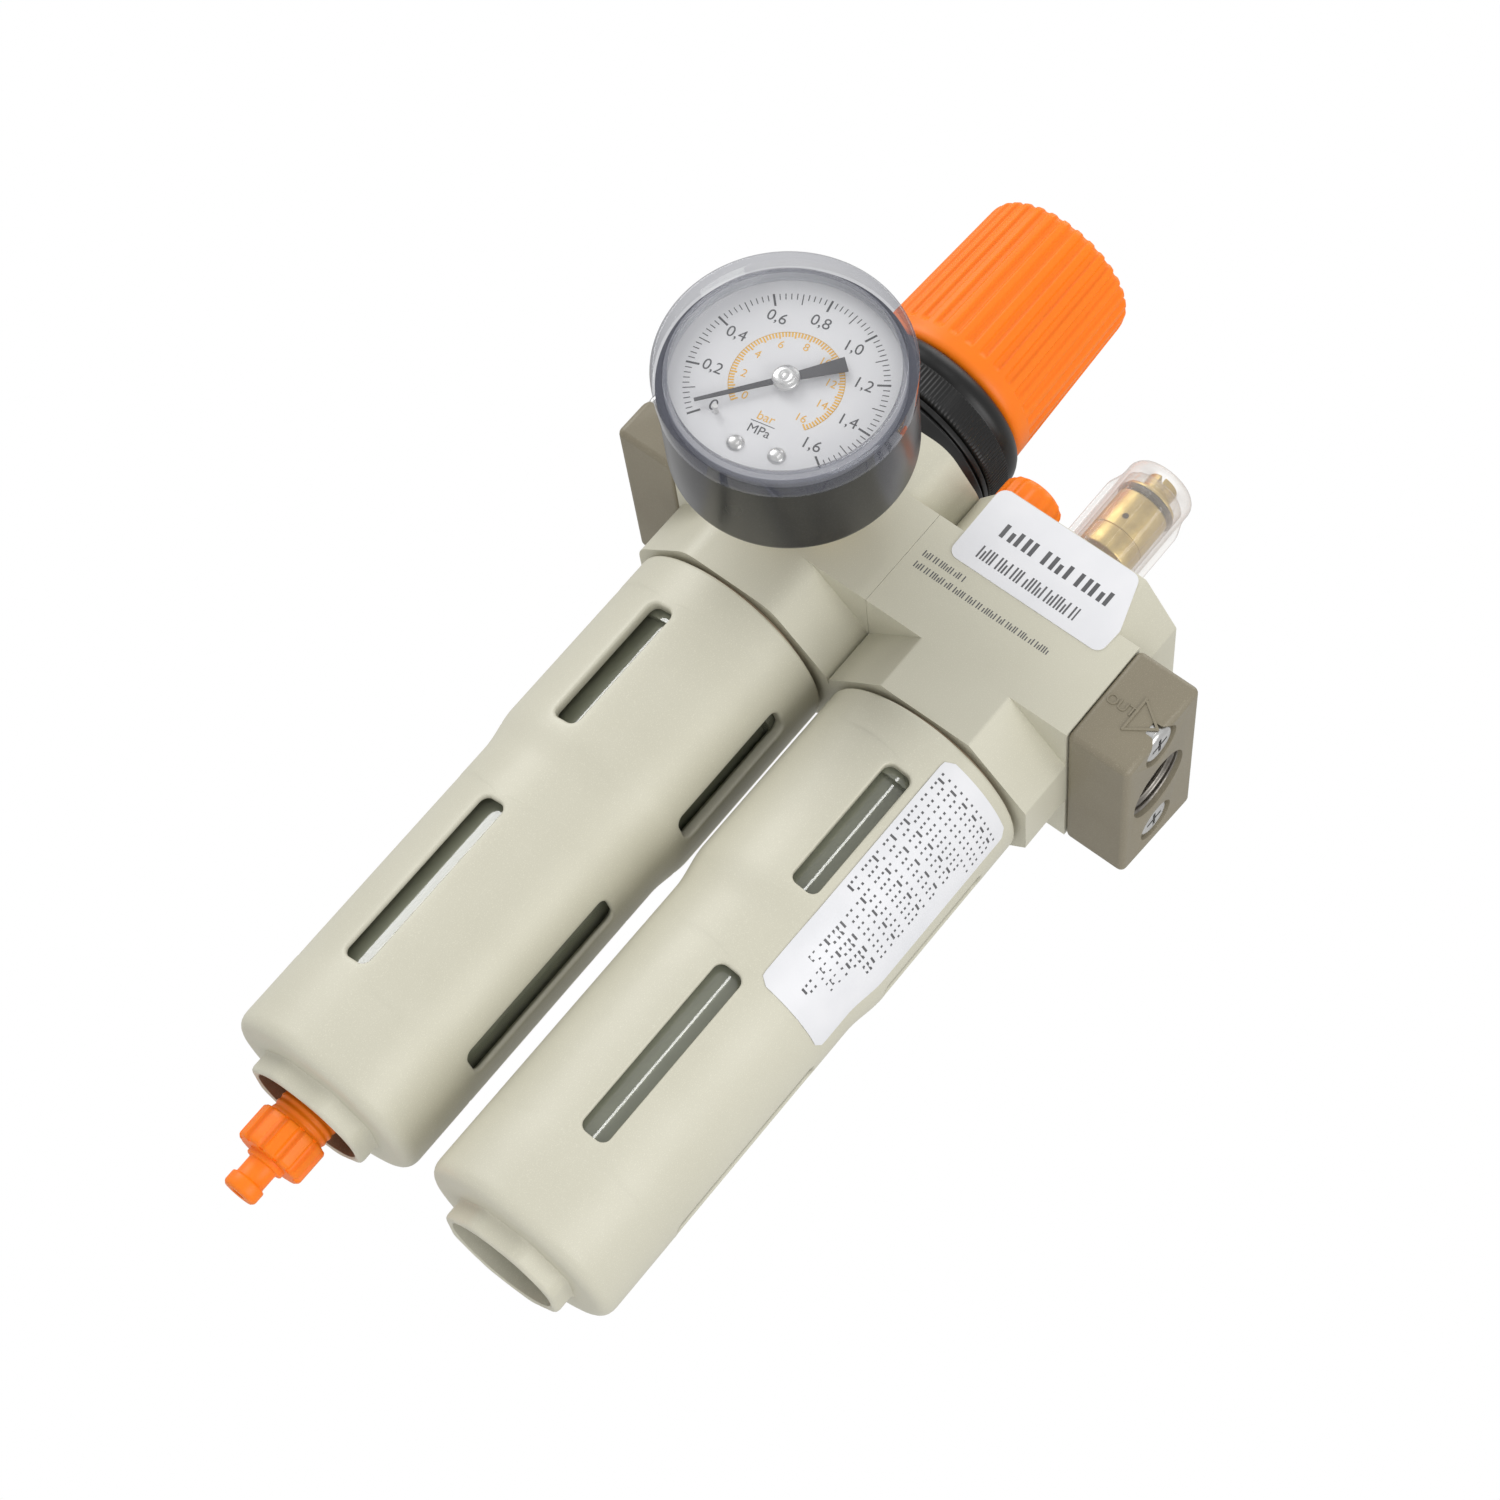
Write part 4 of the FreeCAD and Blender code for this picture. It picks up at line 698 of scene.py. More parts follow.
def guard(name, x, turn):
    g = guardLook
    bm = bmesh.new()

    def spot(r, degrees, z):
        a = math.radians(degrees)
        return bm.verts.new(Vector((x + r * math.cos(a), r * math.sin(a), z)) * mm)

    def stitched(first, second):
        count = len(first)
        for i in range(count):
            j = (i + 1) % count
            bm.faces.new((first[i], first[j], second[j], second[i]))

    for slotRange, high, low in ((g["upperSlot"], -27.0, -58.0), (g["lowerSlot"], -68.5, -108.0)):
        border = cellBorder(high, low)
        for quarter in range(4):
            middle = turn + 90 * quarter
            loops = []
            for rise, offset in ((0.0, 1.5), (1.0, 0.2), (1.2, 0.0)):
                loops.append([(g["inside"] + rise, y, z) for y, z in slotOutline(*slotRange, offset)])
            for step in range(5):
                a = math.radians(90 * step / 4)
                e = g["slotEdge"]
                outline = slotOutline(*slotRange, e - e * math.cos(a))
                loops.append([(guardOuter(z) - e + e * math.sin(a), y, z) for y, z in outline])
            loops.append([(guardOuter(z), y, z) for y, z in slotOutline(*slotRange, g["slotEdge"] + 0.7)])
            rings = [[(r, -math.degrees(math.asin(-y / r)), z) for r, y, z in loop] for loop in loops]
            insideBorder = [(g["inside"], d, z) for d, z in border]
            outsideBorder = [(guardOuter(z), d, z) for d, z in border]

            def between(ring, edge, t, outer):
                result = []
                for (r, d, z), (r2, d2, z2) in zip(ring, edge):
                    zz = z + (z2 - z) * t
                    result.append((guardOuter(zz) if outer else g["inside"], d + (d2 - d) * t, zz))
                return result
            ordered = [insideBorder, between(rings[0], insideBorder, 0.5, False)] + rings
            ordered += [between(rings[-1], outsideBorder, t, True) for t in (0.2, 0.45,
                    0.72)] + [outsideBorder]
            made4 = [[spot(r, middle - d, z) for r, d, z in ring] for ring in ordered]
            for first, second in zip(made4, made4[1:]):
                stitched(first, second)
    columns = 4 * g["columns"]

    def belt(r, z, flat=False):
        ring = []
        for step in range(columns):
            degrees = turn + 45 - 360 * step / columns
            radius = r
            if flat:
                part = math.radians((degrees - 22.5) % 45 - 22.5)
                radius = min(g["flats"] / math.cos(part),
                             g["bossRound"] - 0.05 * abs(part)) + (r - g["bossRound"])
            ring.append(spot(radius, degrees, z))
        return ring

    def belts(rows):
        made5 = [belt(*entry) for entry in rows]
        for first, second in zip(made5, made5[1:]):
            stitched(first, second)

    inside = g["inside"]
    step = [(guardOuter(z), z) for z in [-58.0 - 10.5 * i / 8 for i in range(9)]]
    belts(step)
    belts([(inside, z) for z in (-58.0, -63.0, -68.5)])
    top = rounded([(inside, -27.0), (inside, -27.6), (g["threadBore"], -27.6), (g["threadBore"], -20.6,
            0.3),
                   (g["upper"], -20.6, 0.7), (g["upper"], -27.0)], 4, False)
    belts([(inside, -27.0)] + top[1:])
    low = rounded([(g["lower"], -108.0), (g["lower"], -122.4, 6.2), (11.9, -122.4, 0.9)], 7, False)
    rows = [(r, z) for r, z in low[:-1]]
    rows += [(g["bossRound"] + 0.3, -122.45, True), (g["bossRound"], -122.9, True), (g["bossRound"],
            -125.4, True),
             (g["bossRound"] - 0.15, -125.9, True), (g["bossRound"] - 0.5, -126.15, True),
             (g["mouth"] + 0.35, g["end"]), (g["mouth"], -125.9), (g["mouth"], -120.6), (g["mouth"] + 0.5,
                     -119.8),
             (13.3, -117.0), (inside, -114.3), (inside, -108.0)]
    belts(rows)
    bmesh.ops.remove_doubles(bm, verts=bm.verts, dist=2e-6)
    bmesh.ops.recalc_face_normals(bm, faces=bm.faces)
    return made(bm, name, 48)


dressed(guard("filterGuard", filX, -106.0), "filter_guard", "creamPaint", ["filter_guard"])
dressed(guard("lubricatorGuard", lubX, -80.0), "lubricator_guard", "creamPaint",
        ["lubricator_guard"])


def mouthLining(name, x, body, finish):
    # brown metallic ring lining the inside of the guard's mouth
    ring = [(9.78, -125.95), (9.78, -120.7), (10.3, -119.85), (13.2, -117.1), (13.1, -117.0),
            (10.2, -119.7),
            (9.7, -120.6), (9.7, -125.95)]
    return dressed(made(turned(ring, upright(x), 96), name), body, finish)


mouthLining("filterMouth", filX, "filter_guard", "brownMetal")
mouthLining("lubricatorMouth", lubX, "lubricator_guard", "creamPaint")
print("guards made")


# knob, nut and bonnet
knobLook = {"low": 36.0, "top": 69.8, "foot": 16.0, "rim": 14.7, "flutes": 32, "depth": 0.55,
            "start": 39.4,
            "run": 1.3, "wall": 1.6}


def smooth(t):
    t = min(1.0, max(0.0, t))
    return t * t * (3 - 2 * t)


def knobRadius(z):
    return knobLook["foot"] + (knobLook["rim"] - knobLook["foot"]) * (z - 37.2) / (69.0 - 37.2)


def fluted(r, h, a):
    if h < knobLook["start"] or r < knobLook["rim"] - 1.6:
        return r
    wave = 0.5 + 0.5 * math.cos(a * knobLook["flutes"])
    shape = smooth((wave - 0.25) / 0.6)
    reach = smooth((h - knobLook["start"]) / knobLook["run"])
    return r - knobLook["depth"] * shape * reach


k = knobLook
outer = [(k["wall"] * 0 + 14.0, k["low"]), (14.9, k["low"]), (15.5, k["low"] + 0.25),
         (15.85, k["low"] + 0.8), (16.0, k["low"] + 1.5)]
outer += [(knobRadius(z), z) for z in (38.4, 39.39, 39.41, 39.7, 40.0, 40.3, 40.7, 41.2, 43, 46, 50, 54,
                                       58, 62, 65, 67.6)]
outer += [(14.66, 68.4), (14.45, 69.1), (14.0, 69.6), (13.3, 69.78), (11.8, 69.8), (0, 69.8), (0, 60.5),
          (6.0, 60.5), (6.0, 67.8),
          (13.3, 67.8)]
dressed(made(turned(outer, upright(filX), 32 * 16, fluted), "knob", 50), "knob",
        "orangePlastic",
        ["pressure_knob"])

nutLook = {"low": 26.1, "high": 35.4, "knurlTop": 31.2, "ridges": 156, "ridge": 0.16}


def knurled(r, h, a):
    if r < 17.95 or h < nutLook["low"] + 0.3 or h > nutLook["knurlTop"]:
        return r
    return r - nutLook["ridge"] * (0.5 - 0.5 * math.cos(a * nutLook["ridges"]))


nutOutline = [(15.0, 26.1), (17.5, 26.1), (17.8, 26.35), (18.0, 26.5), (18.0, 27.5), (18.0, 29.0),
              (18.0, 30.8),
              (17.95, 31.15), (17.6, 31.3), (17.62, 31.5), (17.8, 31.7), (17.8, 33.0), (17.72, 33.5),
              (17.5, 34.1),
              (17.1, 34.8), (16.7, 35.25), (16.3, 35.4), (15.0, 35.4)]
dressed(made(turned(nutOutline, upright(filX), 156 * 6, knurled), "panelNut", 50), "body",
        "blackPlastic", ["panel_nut"])

bonnetOutline = rounded([
    (11.2, 15.5), (15.88, 15.5), (15.88, 20.8), (18.5, 20.8, 0.35), (18.5, 24.0, 0.5), (17.2, 24.0, 0.15),
                         (17.2, 24.7, 0.15),
    (17.9, 24.7, 0.25), (17.9, 25.8, 0.3), (14.95, 25.8), (14.95, 35.4, 0.3), (12.6, 35.4, 0.3),
                         (12.6, 59.5, 0.8),
    (3.1, 59.5), (3.1, 57.0), (11.2, 57.0)], 4)
dressed(made(turned(bonnetOutline, upright(filX), 144), "bonnet"), "body",
        "blackPlastic",
        ["regulator_bonnet"])
print("knob and nut made")


# pressure gauge
gaugeLook = {"x": 32.0, "z": -0.6, "turn": 12.0, "face": -52.4, "zero": -135.0, "sweep": 270.0,
             "full": 1.6,
             "labelRadius": 11.75, "labelHeight": 2.75, "barRadius": 6.75, "barHeight": 1.95,
             "print": 0.03}
gx, gz = gaugeLook["x"], gaugeLook["z"]


def dialAngle(pressure):
    # radians from +X, seen from the front
    return math.radians(gaugeLook["turn"] + gaugeLook["zero"] - gaugeLook["sweep"] * pressure / gaugeLook["full"])


def dialPoint(radius, angle, lift=0.0, across=0.0):
    # across is measured to the left of the outward direction
    x = gx + radius * math.cos(angle) - across * math.sin(angle)
    z = gz + radius * math.sin(angle) + across * math.cos(angle)
    return Vector((x, gaugeLook["face"] - lift, z)) * mm


def tickMesh(marks):
    # flat bars (inner radius, outer radius, width, angle) just proud of the dial
    bm = bmesh.new()
    for inner, outer, width, angle in marks:
        corners = [(inner, -width / 2), (outer, -width / 2), (outer, width / 2), (inner, width / 2)]
        bottom = [bm.verts.new(dialPoint(r, angle, 0.002, w)) for r, w in corners]
        top = [bm.verts.new(dialPoint(r, angle, gaugeLook["print"], w)) for r, w in corners]
        bm.faces.new(top)
        for i in range(4):
            j = (i + 1) % 4
            bm.faces.new((bottom[i], bottom[j], top[j], top[i]))
    bmesh.ops.recalc_face_normals(bm, faces=bm.faces)
    return bm


def lettering(text, size, radius, angle):
    # text laid flat on the dial, upright with the gauge
    turn = Matrix.Rotation(math.radians(gaugeLook["turn"]), 4, Vector((0, -1, 0)))
    return wording(text, size, Matrix.Translation(dialPoint(radius, angle, 0.02)) @ turn, 0.008)


black, amber = [], []
for index in range(81):
    angle = dialAngle(index * 0.02)
    if index % 10 == 0:
        black.append((13.85, 16.0, 0.34, angle))
    elif index % 5 == 0:
        black.append((13.95, 15.9, 0.16, angle))
    else:
        black.append((14.85, 15.9, 0.15, angle))
for index in range(81):
    angle = dialAngle(index * 0.02)
    amber.append((7.85 if index % 5 == 0 else 8.1, 8.95, 0.27, angle))
for index in range(120):
    angle = dialAngle(1.6 * (index + 0.5) / 120)
    amber.append((8.9, 9.0, 9.0 * math.radians(270) / 120 * 1.04, angle))
blackParts, amberParts = [tickMesh(black)], [tickMesh(amber)]
for index in range(9):
    value = index * 0.2
    word = "0" if index == 0 else f"{value:.1f}".replace(".", ",")
    blackParts.append(lettering(word, gaugeLook["labelHeight"], gaugeLook["labelRadius"],
                                dialAngle(value)))
    amberParts.append(lettering(str(index * 2), gaugeLook["barHeight"], gaugeLook["barRadius"],
                                dialAngle(value)))
down = math.radians(-90 + gaugeLook["turn"])
amberParts.append(lettering("bar", 2.2, 6.95, down))
blackParts.append(lettering("MPa", 2.2, 9.45, down))
blackParts.append(tickMesh([(8.02, 8.14, 4.0, down)]))
dressed(made(joined(blackParts), "dialScale", 20), "body", "blackInk")
dressed(made(joined(amberParts), "dialInnerScale", 20), "body", "amberInk")
dressed(made(turned(rounded([(0.9, -52.4), (18.5, -52.4, 0.12), (18.5, -51.9), (0.9, -51.9)], 3),
                    facing(gx, gz), 160),
             "dialPlate"), "body", "dialWhite", ["gauge_dial"])

innerWall = [(18.75, -52.45), (18.3, -52.45), (18.3, -52.6), (18.62, -52.75), (18.62, -55.0),
             (18.75, -55.0)]
dressed(made(turned(innerWall, facing(gx, gz), 200), "dialSurround"), "body", "innerGrey")
caseOutline = rounded([(5.1, -35.9), (20.1, -35.9, 1.4), (20.1, -53.0, 0.15), (18.8, -53.0),
                       (18.8, -37.4, 0.5), (5.1, -37.4)], 6)
dressed(made(turned(caseOutline, facing(gx, gz), 160), "gaugeCase"), "body", "gaugeShell",
        ["gauge_case"])
lensOutline = rounded([(0.0, -56.6), (17.9, -56.6, 0.2), (17.9, -55.2, 0.2), (0.0, -55.2)], 3)
dressed(made(turned(lensOutline, facing(gx, gz), 160), "gaugeLens"), "body", "clearLens",
        ["gauge_lens"])
rimOutline = rounded([(17.92, -56.6), (18.7, -57.6, 0.4), (20.0, -57.7, 0.6), (20.5, -57.1, 0.5),
                      (20.5, -53.02, 0.1), (18.82, -53.02), (18.78, -55.2, 0.2), (17.92, -55.2)], 5)
dressed(made(turned(rimOutline, facing(gx, gz), 160), "gaugeLensRim"), "body", "lensRim")

pointerLook = {"angle": -128.0, "tip": 14.4, "tail": 9.5, "tipHalf": 0.27, "waist": 0.5, "root": 0.75,
               "tailHalf": 1.3,
               "face": 1.0, "thick": 0.3}


def pointer():
    p = pointerLook
    outline = [(-p["tail"], -p["tailHalf"]), (-2.0, -p["root"]), (2.0, -p["waist"]),
               (p["tip"], -p["tipHalf"]),
               (p["tip"], p["tipHalf"]), (2.0, p["waist"]), (-2.0, p["root"]),
               (-p["tail"], p["tailHalf"])]
    a = math.radians(p["angle"])
    bm = bmesh.new()
    low = [bm.verts.new(dialPoint(r, a, p["face"], w)) for r, w in outline]
    high = [bm.verts.new(dialPoint(r, a, p["face"] + p["thick"], w)) for r, w in outline]
    bm.faces.new(low)
    bm.faces.new(high)
    for i in range(len(outline)):
        j = (i + 1) % len(outline)
        bm.faces.new((low[i], low[j], high[j], high[i]))
    bmesh.ops.recalc_face_normals(bm, faces=bm.faces)
    return eased(made(bm, "pointer"), 0.05, 2)


dressed(pointer(), "pointer", "pointerBlack", ["gauge_pointer"])
face = gaugeLook["face"]
hub = rounded([(0, face - 1.95), (0.5, face - 1.85), (0.75, face - 2.0), (1.5, face - 1.95),
               (2.2, face - 1.55, 0.3),
               (2.2, face - 0.95, 0.1), (0, face - 0.95)], 4)
shaft = [(0, face - 1.0), (0.6, face - 1.0), (0.6, -41.1), (0, -41.1)]
pinionTooth = lambda r, h, a: r if r < 1.1 else r + 0.12 * math.cos(a * 10) - 0.12
pinion = [(0.6, -46.9), (1.2, -46.9), (1.2, -44.9), (0.6, -44.9)]
dressed(made(joined([turned(hub, facing(gx, gz), 64), turned(shaft, facing(gx, gz), 24),
                     turned(pinion, facing(gx, gz), 80, pinionTooth)]), "pointerHub"), "pointer",
        "zinc")

rivetParts = []
for offset in (-15, 15):
    a = math.radians(-90 + gaugeLook["turn"] + 5 + offset)
    rx, rz = gx + 13.0 * math.cos(a), gz + 13.0 * math.sin(a)
    dome = [(0, face - 0.78), (0.5, face - 0.74), (0.95, face - 0.6), (1.3, face - 0.35),
            (1.45, face - 0.08), (1.45, face + 0.02), (0, face + 0.02)]
    rivetParts.append(turned(dome, facing(rx, rz), 40))
dressed(made(joined(rivetParts), "dialRivets"), "body", "zinc", ["dial_rivets"])
print("gauge made")


# drain, filler plug, sight dome and needle
drainLook = {"x": 32.0, "ribs": 12, "depth": 0.62, "high": -128.6, "low": -135.1, "radius": 6.1}


def drainRibs(r, h, a):
    d = drainLook
    if h > d["high"] - 0.05 or h < d["low"] - 0.01 or r < d["radius"] - 0.75:
        return r
    wave = 0.5 - 0.5 * math.cos(a * d["ribs"])
    return r - d["depth"] * smooth((0.42 - wave) / 0.3)


def drainThread(r, h, a):
    if -128.5 < h < -119.5 and abs(r - 5.1) < 0.01:
        return r - 0.18 * (0.5 - 0.5 * math.cos(2 * math.pi * h / 1.25 + a))
    return drainRibs(r, h, a)


drainOutline = [(1.2, -111.6), (4.5, -111.6), (5.1, -112.2), (5.1, -114.4), (4.25, -114.4),
                (4.25, -115.6), (5.1, -115.6)]
drainOutline += [(5.1, -119.0 - i * 0.156) for i in range(61)]
drainOutline += [(5.15, -128.6), (5.5, -128.6), (5.9, -128.7), (6.1, -129.0), (6.1, -130), (6.1, -131.5),
                 (6.1, -133), (6.1, -134.3), (6.02, -134.7),
                 (5.7, -135.02), (5.3, -135.1), (3.4, -135.12), (3.35, -135.9), (3.2, -136.05),
                 (2.62, -136.2), (2.55, -136.5), (2.55, -139.2),
                 (2.65, -139.35), (2.98, -139.5), (3.05, -139.7), (3.05, -141.3), (2.95, -141.6),
                 (2.6, -141.95), (1.35, -142.0), (1.2, -141.9)]
dressed(made(turned(drainOutline, upright(filX), 144, drainThread), "drainScrew", 50), "drain",
        "orangePlastic", ["drain_screw"])

plugLook = {"x": 59.0, "y": -7.2, "ribs": 14, "depth": 0.35}


def plugRibs(r, h, a):
    if r < 4.9 or h < 22.05 or h > 26.9:
        return r
    return r - plugLook["depth"] * (0.5 - 0.5 * math.cos(a * plugLook["ribs"]))


plugOutline = [(0, 12.2), (2.9, 12.2), (3.4, 12.7), (3.4, 20.7), (2.95, 20.8), (2.95, 21.95), (5.1, 22.0),
               (5.5, 22.2), (5.6, 22.5), (5.6, 24),
               (5.6, 25.4), (5.5, 26.2), (5.1, 26.9), (4.4, 27.3), (3.2, 27.4), (0, 27.4)]
dressed(made(turned(plugOutline, upright(plugLook["x"], plugLook["y"]), 14 * 10, plugRibs), "fillerPlug",
             45),
        "filler_plug", "orangePlastic", ["filler_plug"])

domeLook = {"x": 72.0, "turn": 15.0, "finLow": 22.7, "finTop": 42.3}


def domeShape(r, h, a):
    # grip fins swell out of the round wall
    d = domeLook
    if r < 6.3 or h < d["finLow"] or h > d["finTop"]:
        return r
    part = (math.degrees(a) - d["turn"] + 30) % 60 - 30
    across = abs(r * math.sin(math.radians(part)))
    proud = 1.0 * smooth((d["finTop"] - h) / 3.8) * smooth((h - 22.6) / 0.4 + 0.6)
    return r + proud * smooth((1.25 - across) / 0.7)


domeOutline = [(5.6, 15.35), (6.45, 15.35), (6.45, 21.4), (7.7, 21.4), (7.95, 21.55), (8.0, 21.8),
               (7.95, 22.3), (7.7, 22.55), (6.5, 22.65)]
domeOutline += [(6.4, 22.8 + 0.75 * i) for i in range(27)]
domeOutline += [(6.4, 43.6), (6.3, 44.2), (6.0, 44.8), (5.55, 45.25), (5.0, 45.52), (4.4, 45.6),
                (3.2, 45.6), (2.95, 45.45), (2.9, 42.8),
                (5.2, 42.8), (5.6, 42.4)]
dressed(made(turned(domeOutline, upright(lubX), 240, domeShape), "sightDome", 50), "body",
        "clearDome",
        ["sight_dome"])

needleOutline = rounded([
    (0, 17.0), (0.3, 17.0), (0.9, 19.5), (0.9, 22.0), (3.2, 22.3, 0.2), (3.2, 27.5, 0.2),
                         (5.0, 27.5, 0.35), (5.0, 31.4, 0.1),
    (4.8, 31.5), (4.8, 31.8), (5.0, 31.9, 0.1), (5.0, 39.2, 0.2), (4.4, 39.2), (4.4, 40.6),
                         (5.0, 40.6, 0.1), (5.0, 41.2, 0.2),
    (2.8, 41.2, 0.3), (2.8, 45.1, 0.2), (0, 45.1)], 4)
needle = made(turned(needleOutline, upright(lubX), 96), "needleScrew")
slotCut = prism([(-0.4, -4), (0.4, -4), (0.4, 4), (-0.4, 4)], 43.6, 46, lambda a, b, c: (lubX + a, b, c))
hole = turned([(0.55, -8), (0.55, 8), (0, 8), (0, -8)], facing(lubX, 34.2), 24)
needle = carved(needle, [made(slotCut, "slotCut"), made(hole, "hole")], "DIFFERENCE")
dressed(eased(needle, 0.06, 2, 40), "needle", "brass", ["needle_screw"])
print("small parts made")


# labels
def printed(name, marks, place, lift):
    # thin flat marks; each is (start, stop, low, high, lean)
    bm = bmesh.new()
    for start, stop, low, high, lean in marks:
        steps = max(1, int((stop - start) / 1.2))
        loop = []
        for level, shift in ((low, 0.0), (high, lean)):
            loop.append([bm.verts.new(place(start + shift + (stop - start) * i / steps, level,
                                            lift)) for i in range(steps + 1)])
        for i in range(steps):
            bm.faces.new((loop[0][i], loop[0][i + 1], loop[1][i + 1], loop[1][i]))
    return made(bm, name)


def lineOfMarks(start, stop, low, high, stroke, lean=0.0, groups=(4, 2, 6, 3, 5), pace=2.0):
    # upright strokes in uneven groups, which stand for a line of print
    marks, at, index = [], start, 0
    while at < stop:
        for item in range(groups[index % len(groups)]):
            short = (item * 5 + index * 3) % 4 == 1
            marks.append((at, min(stop, at + stroke), low, high - (high - low) * (0.3 if short else 0),
                          lean))
            at += stroke * (pace if item % 2 else pace + 0.4)
            if at >= stop:
                break
        at += stroke * (pace - 0.4)
        index += 1
    return marks


front = row["front"]
onFront = lambda a, b, lift: Vector((a, front - lift, b)) * mm
bold = lineOfMarks(61.9, 83.4, 12.9, 15.6, 0.75, 0.0, (5, 4), 1.7)
small = lineOfMarks(61.2, 80.6, 7.7, 10.2, 0.32, 0.0, (5, 4, 3, 6, 7), 1.8)
dressed(printed("frontLabelPrint", bold + small, onFront, 0.215), "body", "greyInk")
dressed(printed("housingPrint", lineOfMarks(54.2, 62.4, 2.8, 4.0, 0.2) + lineOfMarks(54.2, 81.0, 0.4, 1.6,
        0.2),
                onFront, 0.02), "body", "greyInk")


def onGuard(a, b, lift):
    # a runs down the guard, b round it in degrees
    z = -a
    r = guardOuter(z) + lift
    angle = math.radians(b)
    return Vector((lubX + r * math.cos(angle), r * math.sin(angle), z)) * mm


def guardLabel():
    # sticker that follows the guard over its step, with rounded corners
    bm = bmesh.new()
    down, stepsRound = 48, 40
    high, low, start, sweep = 23.0, 70.0, -67.0, 57.0
    grids = []
    for lift in (0.02, 0.19):
        grid = []
        for i in range(down + 1):
            a = high + (low - high) * i / down
            edge = min(i, down - i) * (low - high) / down
            trim = 1.6 - math.sqrt(max(0.0, 1.6 ** 2 - max(0.0, 1.6 - edge) ** 2)) if edge < 1.6 else 0.0
            trim = math.degrees(trim / 18)
            grid.append([bm.verts.new(onGuard(a, start + trim + (sweep - 2 * trim) * j / stepsRound,
                                              lift)) for j in range(stepsRound + 1)])
        grids.append(grid)
    for grid in grids:
        for i in range(down):
            for j in range(stepsRound):
                bm.faces.new((grid[i][j], grid[i][j + 1], grid[i + 1][j + 1], grid[i + 1][j]))
    for i in range(down):
        for j in (0, stepsRound):
            bm.faces.new((grids[0][i][j], grids[0][i + 1][j], grids[1][i + 1][j], grids[1][i][j]))
    for j in range(stepsRound):
        for i in (0, down):
            bm.faces.new((grids[0][i][j], grids[0][i][j + 1], grids[1][i][j + 1], grids[1][i][j]))
    bmesh.ops.recalc_face_normals(bm, faces=bm.faces)
    return made(bm, "guardSticker", 60)


dressed(guardLabel(), "lubricator_guard", "labelWhite", ["guard_label"])
lines = []
for index, stop in enumerate((50.0, 62.0, 66.5, 64.0, 57.0, 33.0)):
    level = -64.0 + 8.6 * index
    lines += lineOfMarks(25.5, stop, level, level + 5.6, 0.42)
dressed(printed("guardStickerPrint", lines, onGuard, 0.205), "lubricator_guard", "greyInk")
print("labels made")


# finishes of the CAD nodes that stay
kept = {
    "plate_screws": "zinc", "module_studs": "zinc", "port_seals": "rubber", "filter_bowl": "clearBowl",
    "filter_bowl_seal": "rubber", "drain_seal": "rubber", "valve_guide": "greyPlastic",
        "swirl_vane": "greyPlastic",
    "filter_element": "whiteElement", "filter_baffle": "greyPlastic", "valve_poppet": "brass",
    "valve_spring": "springSteel", "diaphragm": "rubber", "diaphragm_disc": "greyPlastic",
    "adjusting_spindle": "zinc", "spring_plate": "zinc", "regulating_spring": "springSteel",
        "gauge_socket": "brass",
    "bourdon_tube": "brass", "gauge_movement": "brass", "sector_gear": "brass",
        "pointer_stop_pin": "zinc",
    "lubricator_bowl": "clearBowl", "lubricator_bowl_seal": "rubber", "siphon_tube": "clearBowl",
    "siphon_check_ball": "zinc", "sight_dome_washer": "rubber", "drip_seat": "brass",
        "needle_seal": "rubber",
    "filler_plug_seal": "rubber", "flow_flap": "greyPlastic", "front_label": "labelWhite",
}
for node, finish in kept.items():
    nodes[node].data.materials.clear()
    nodes[node].data.materials.append(finishes[finish])
print("kept nodes dressed")


# floor, light and camera
stageLook = {"floorDrop": 0.55, "floorSize": 3.0, "key": 4.6, "fill": 4.4, "top": 2.4, "strip": 0.4,
             "world": 0.6}


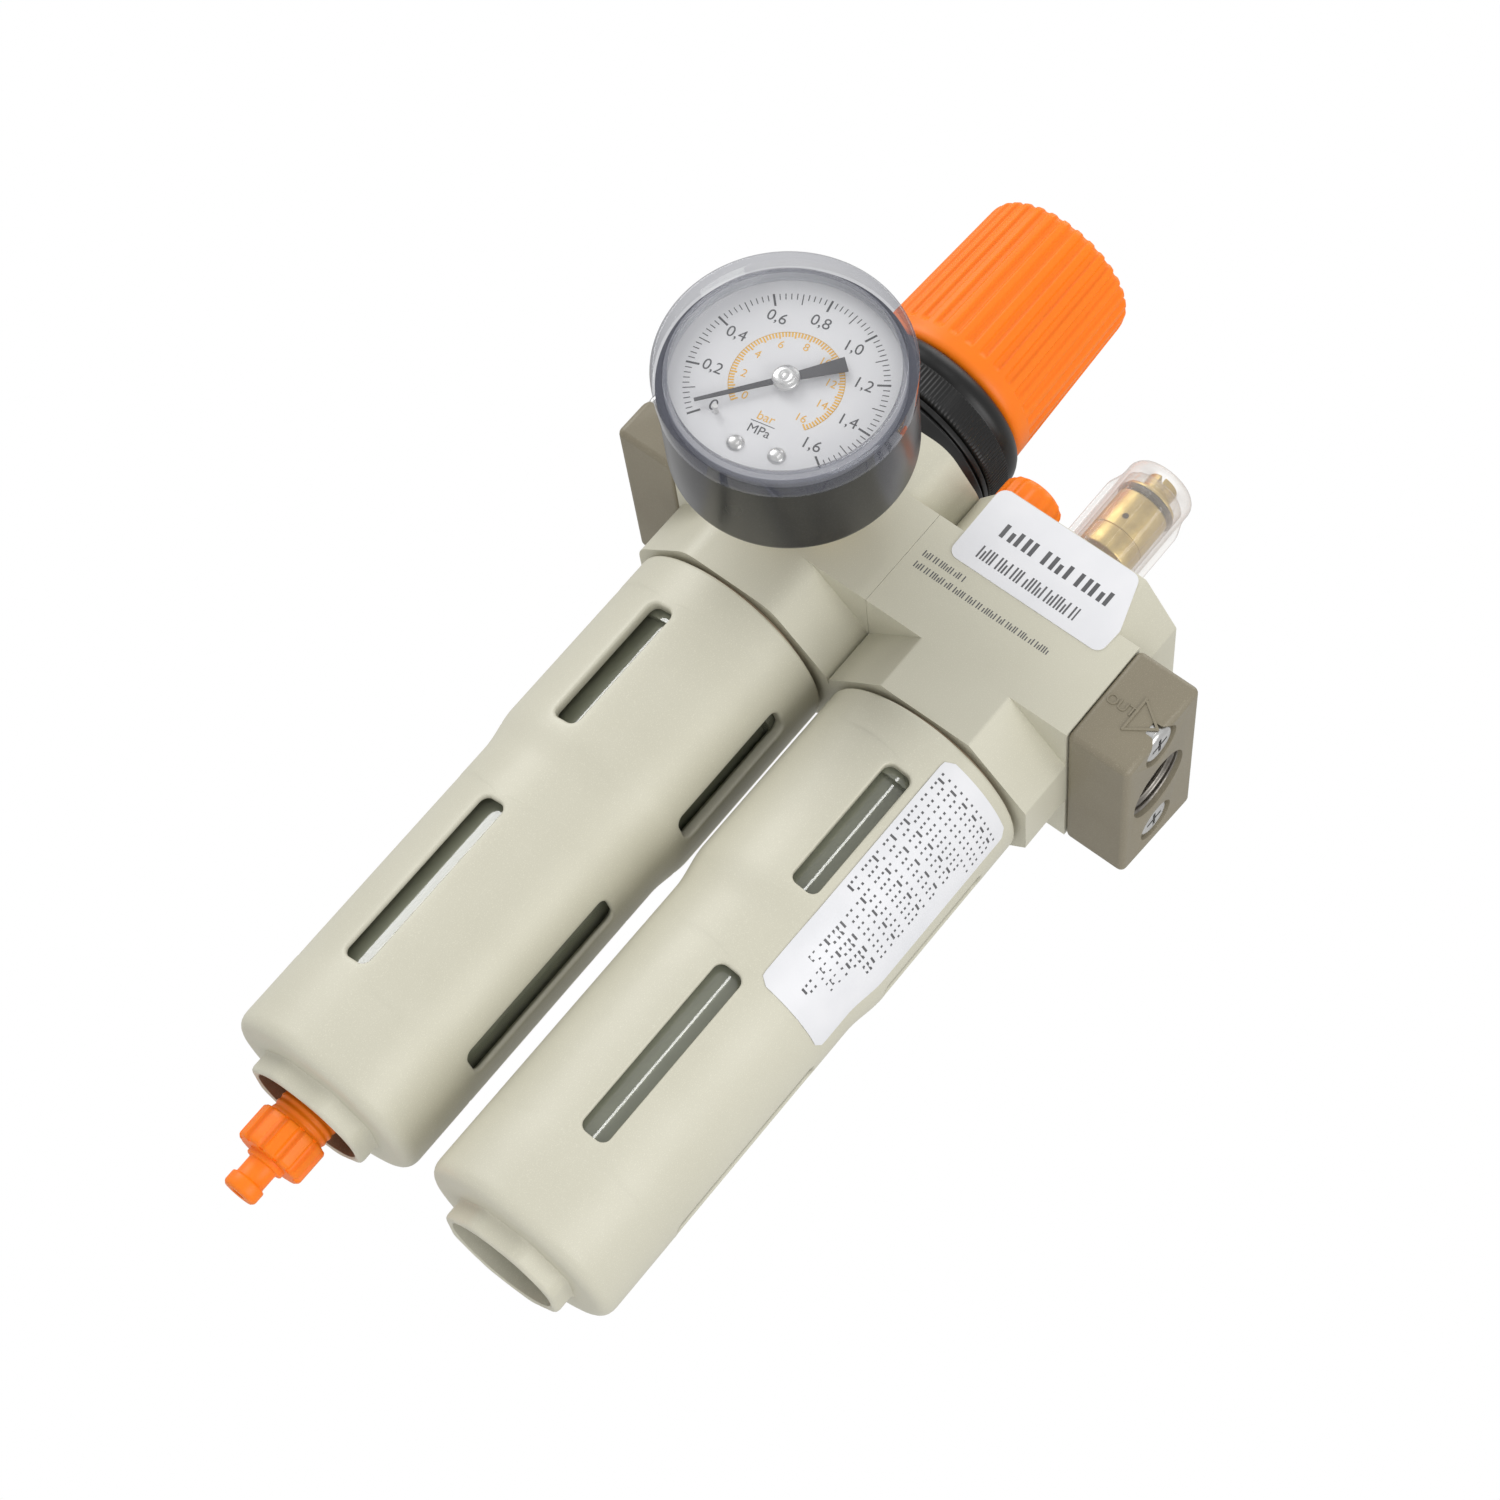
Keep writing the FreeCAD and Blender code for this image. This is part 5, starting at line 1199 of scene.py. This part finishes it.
def studio():
    low = cadLow.z - stageLook["floorDrop"]
    half = stageLook["floorSize"]
    mesh = bpy.data.meshes.new("floor")
    mesh.from_pydata([(-half, -half, low), (half, -half, low), (half, half, low), (-half, half, low)], [],
                     [(0, 1, 2, 3)])
    floor = bpy.data.objects.new("floor", mesh)
    bpy.context.scene.collection.objects.link(floor)
    pale = Finish("paleFloor")
    tone = pale.speckle(300, 2.0)
    pale.shade({"Base Color": pale.mix((0.86, 0.86, 0.86), (0.83, 0.83, 0.83), tone), "Roughness": 0.8})
    mesh.materials.append(pale.material)
    scene = bpy.context.scene
    world = bpy.data.worlds.new("studio")
    scene.world = world
    world.use_nodes = True
    tree = world.node_tree
    tree.nodes.clear()
    out = tree.nodes.new("ShaderNodeOutputWorld")
    soft = tree.nodes.new("ShaderNodeBackground")
    seen = tree.nodes.new("ShaderNodeBackground")
    path = tree.nodes.new("ShaderNodeLightPath")
    mixer = tree.nodes.new("ShaderNodeMixShader")
    soft.inputs["Color"].default_value = (1, 1, 1, 1)
    soft.inputs["Strength"].default_value = stageLook["world"]
    seen.inputs["Color"].default_value = (1, 1, 1, 1)
    seen.inputs["Strength"].default_value = 1.0
    tree.links.new(path.outputs["Is Camera Ray"], mixer.inputs[0])
    tree.links.new(soft.outputs[0], mixer.inputs[1])
    tree.links.new(seen.outputs[0], mixer.inputs[2])
    tree.links.new(mixer.outputs[0], out.inputs[0])
    scene.view_settings.view_transform = "Standard"
    scene.view_settings.look = "None"


def softBox(name, place, size, power, aim):
    light = bpy.data.lights.new(name, "AREA")
    light.shape = "RECTANGLE"
    light.size, light.size_y = size
    light.energy = power
    thing = bpy.data.objects.new(name, light)
    thing.location = place
    thing.rotation_mode = "QUATERNION"
    thing.rotation_quaternion = (Vector(aim) - Vector(place)).to_track_quat("-Z", "Y")
    bpy.context.scene.collection.objects.link(thing)


cameraLook = {"place": (0.23115, -0.50354, -0.20259), "right": (0.79138662, 0.02370583, 0.61085617),
              "down": (0.55667612, 0.38498979, -0.73613488), "ahead": (-0.25262407, 0.92261633,
                      0.2914793),
              "lens": 82.713, "shiftX": -0.12727, "shiftY": 0.13037}


def camera():
    data = bpy.data.cameras.new("camera")
    data.sensor_width = 36.0
    data.lens = cameraLook["lens"]
    data.shift_x = cameraLook["shiftX"]
    data.shift_y = cameraLook["shiftY"]
    data.clip_start, data.clip_end = 0.01, 20
    thing = bpy.data.objects.new("camera", data)
    columns = [Vector(cameraLook["right"]), -Vector(cameraLook["down"]), -Vector(cameraLook["ahead"])]
    turn = Matrix([[columns[c][r] for c in range(3)] for r in range(3)])
    thing.matrix_world = Matrix.Translation(cameraLook["place"]) @ turn.to_4x4()
    bpy.context.scene.collection.objects.link(thing)
    bpy.context.scene.camera = thing


studio()
middle = (0.05, 0.0, -0.04)
softBox("keyLight", (-0.71, -0.575, 0.27), (0.58, 0.5), stageLook["key"], middle)
softBox("fillLight", (0.9, -0.45, -0.08), (0.6, 0.6), stageLook["fill"], middle)
softBox("topLight", (-0.1, -0.15, 0.95), (0.6, 0.6), stageLook["top"], middle)
softBox("stripLight", (0.13, -0.93, 0.24), (0.045, 0.5), stageLook["strip"], middle)
camera()
print("scene ready")
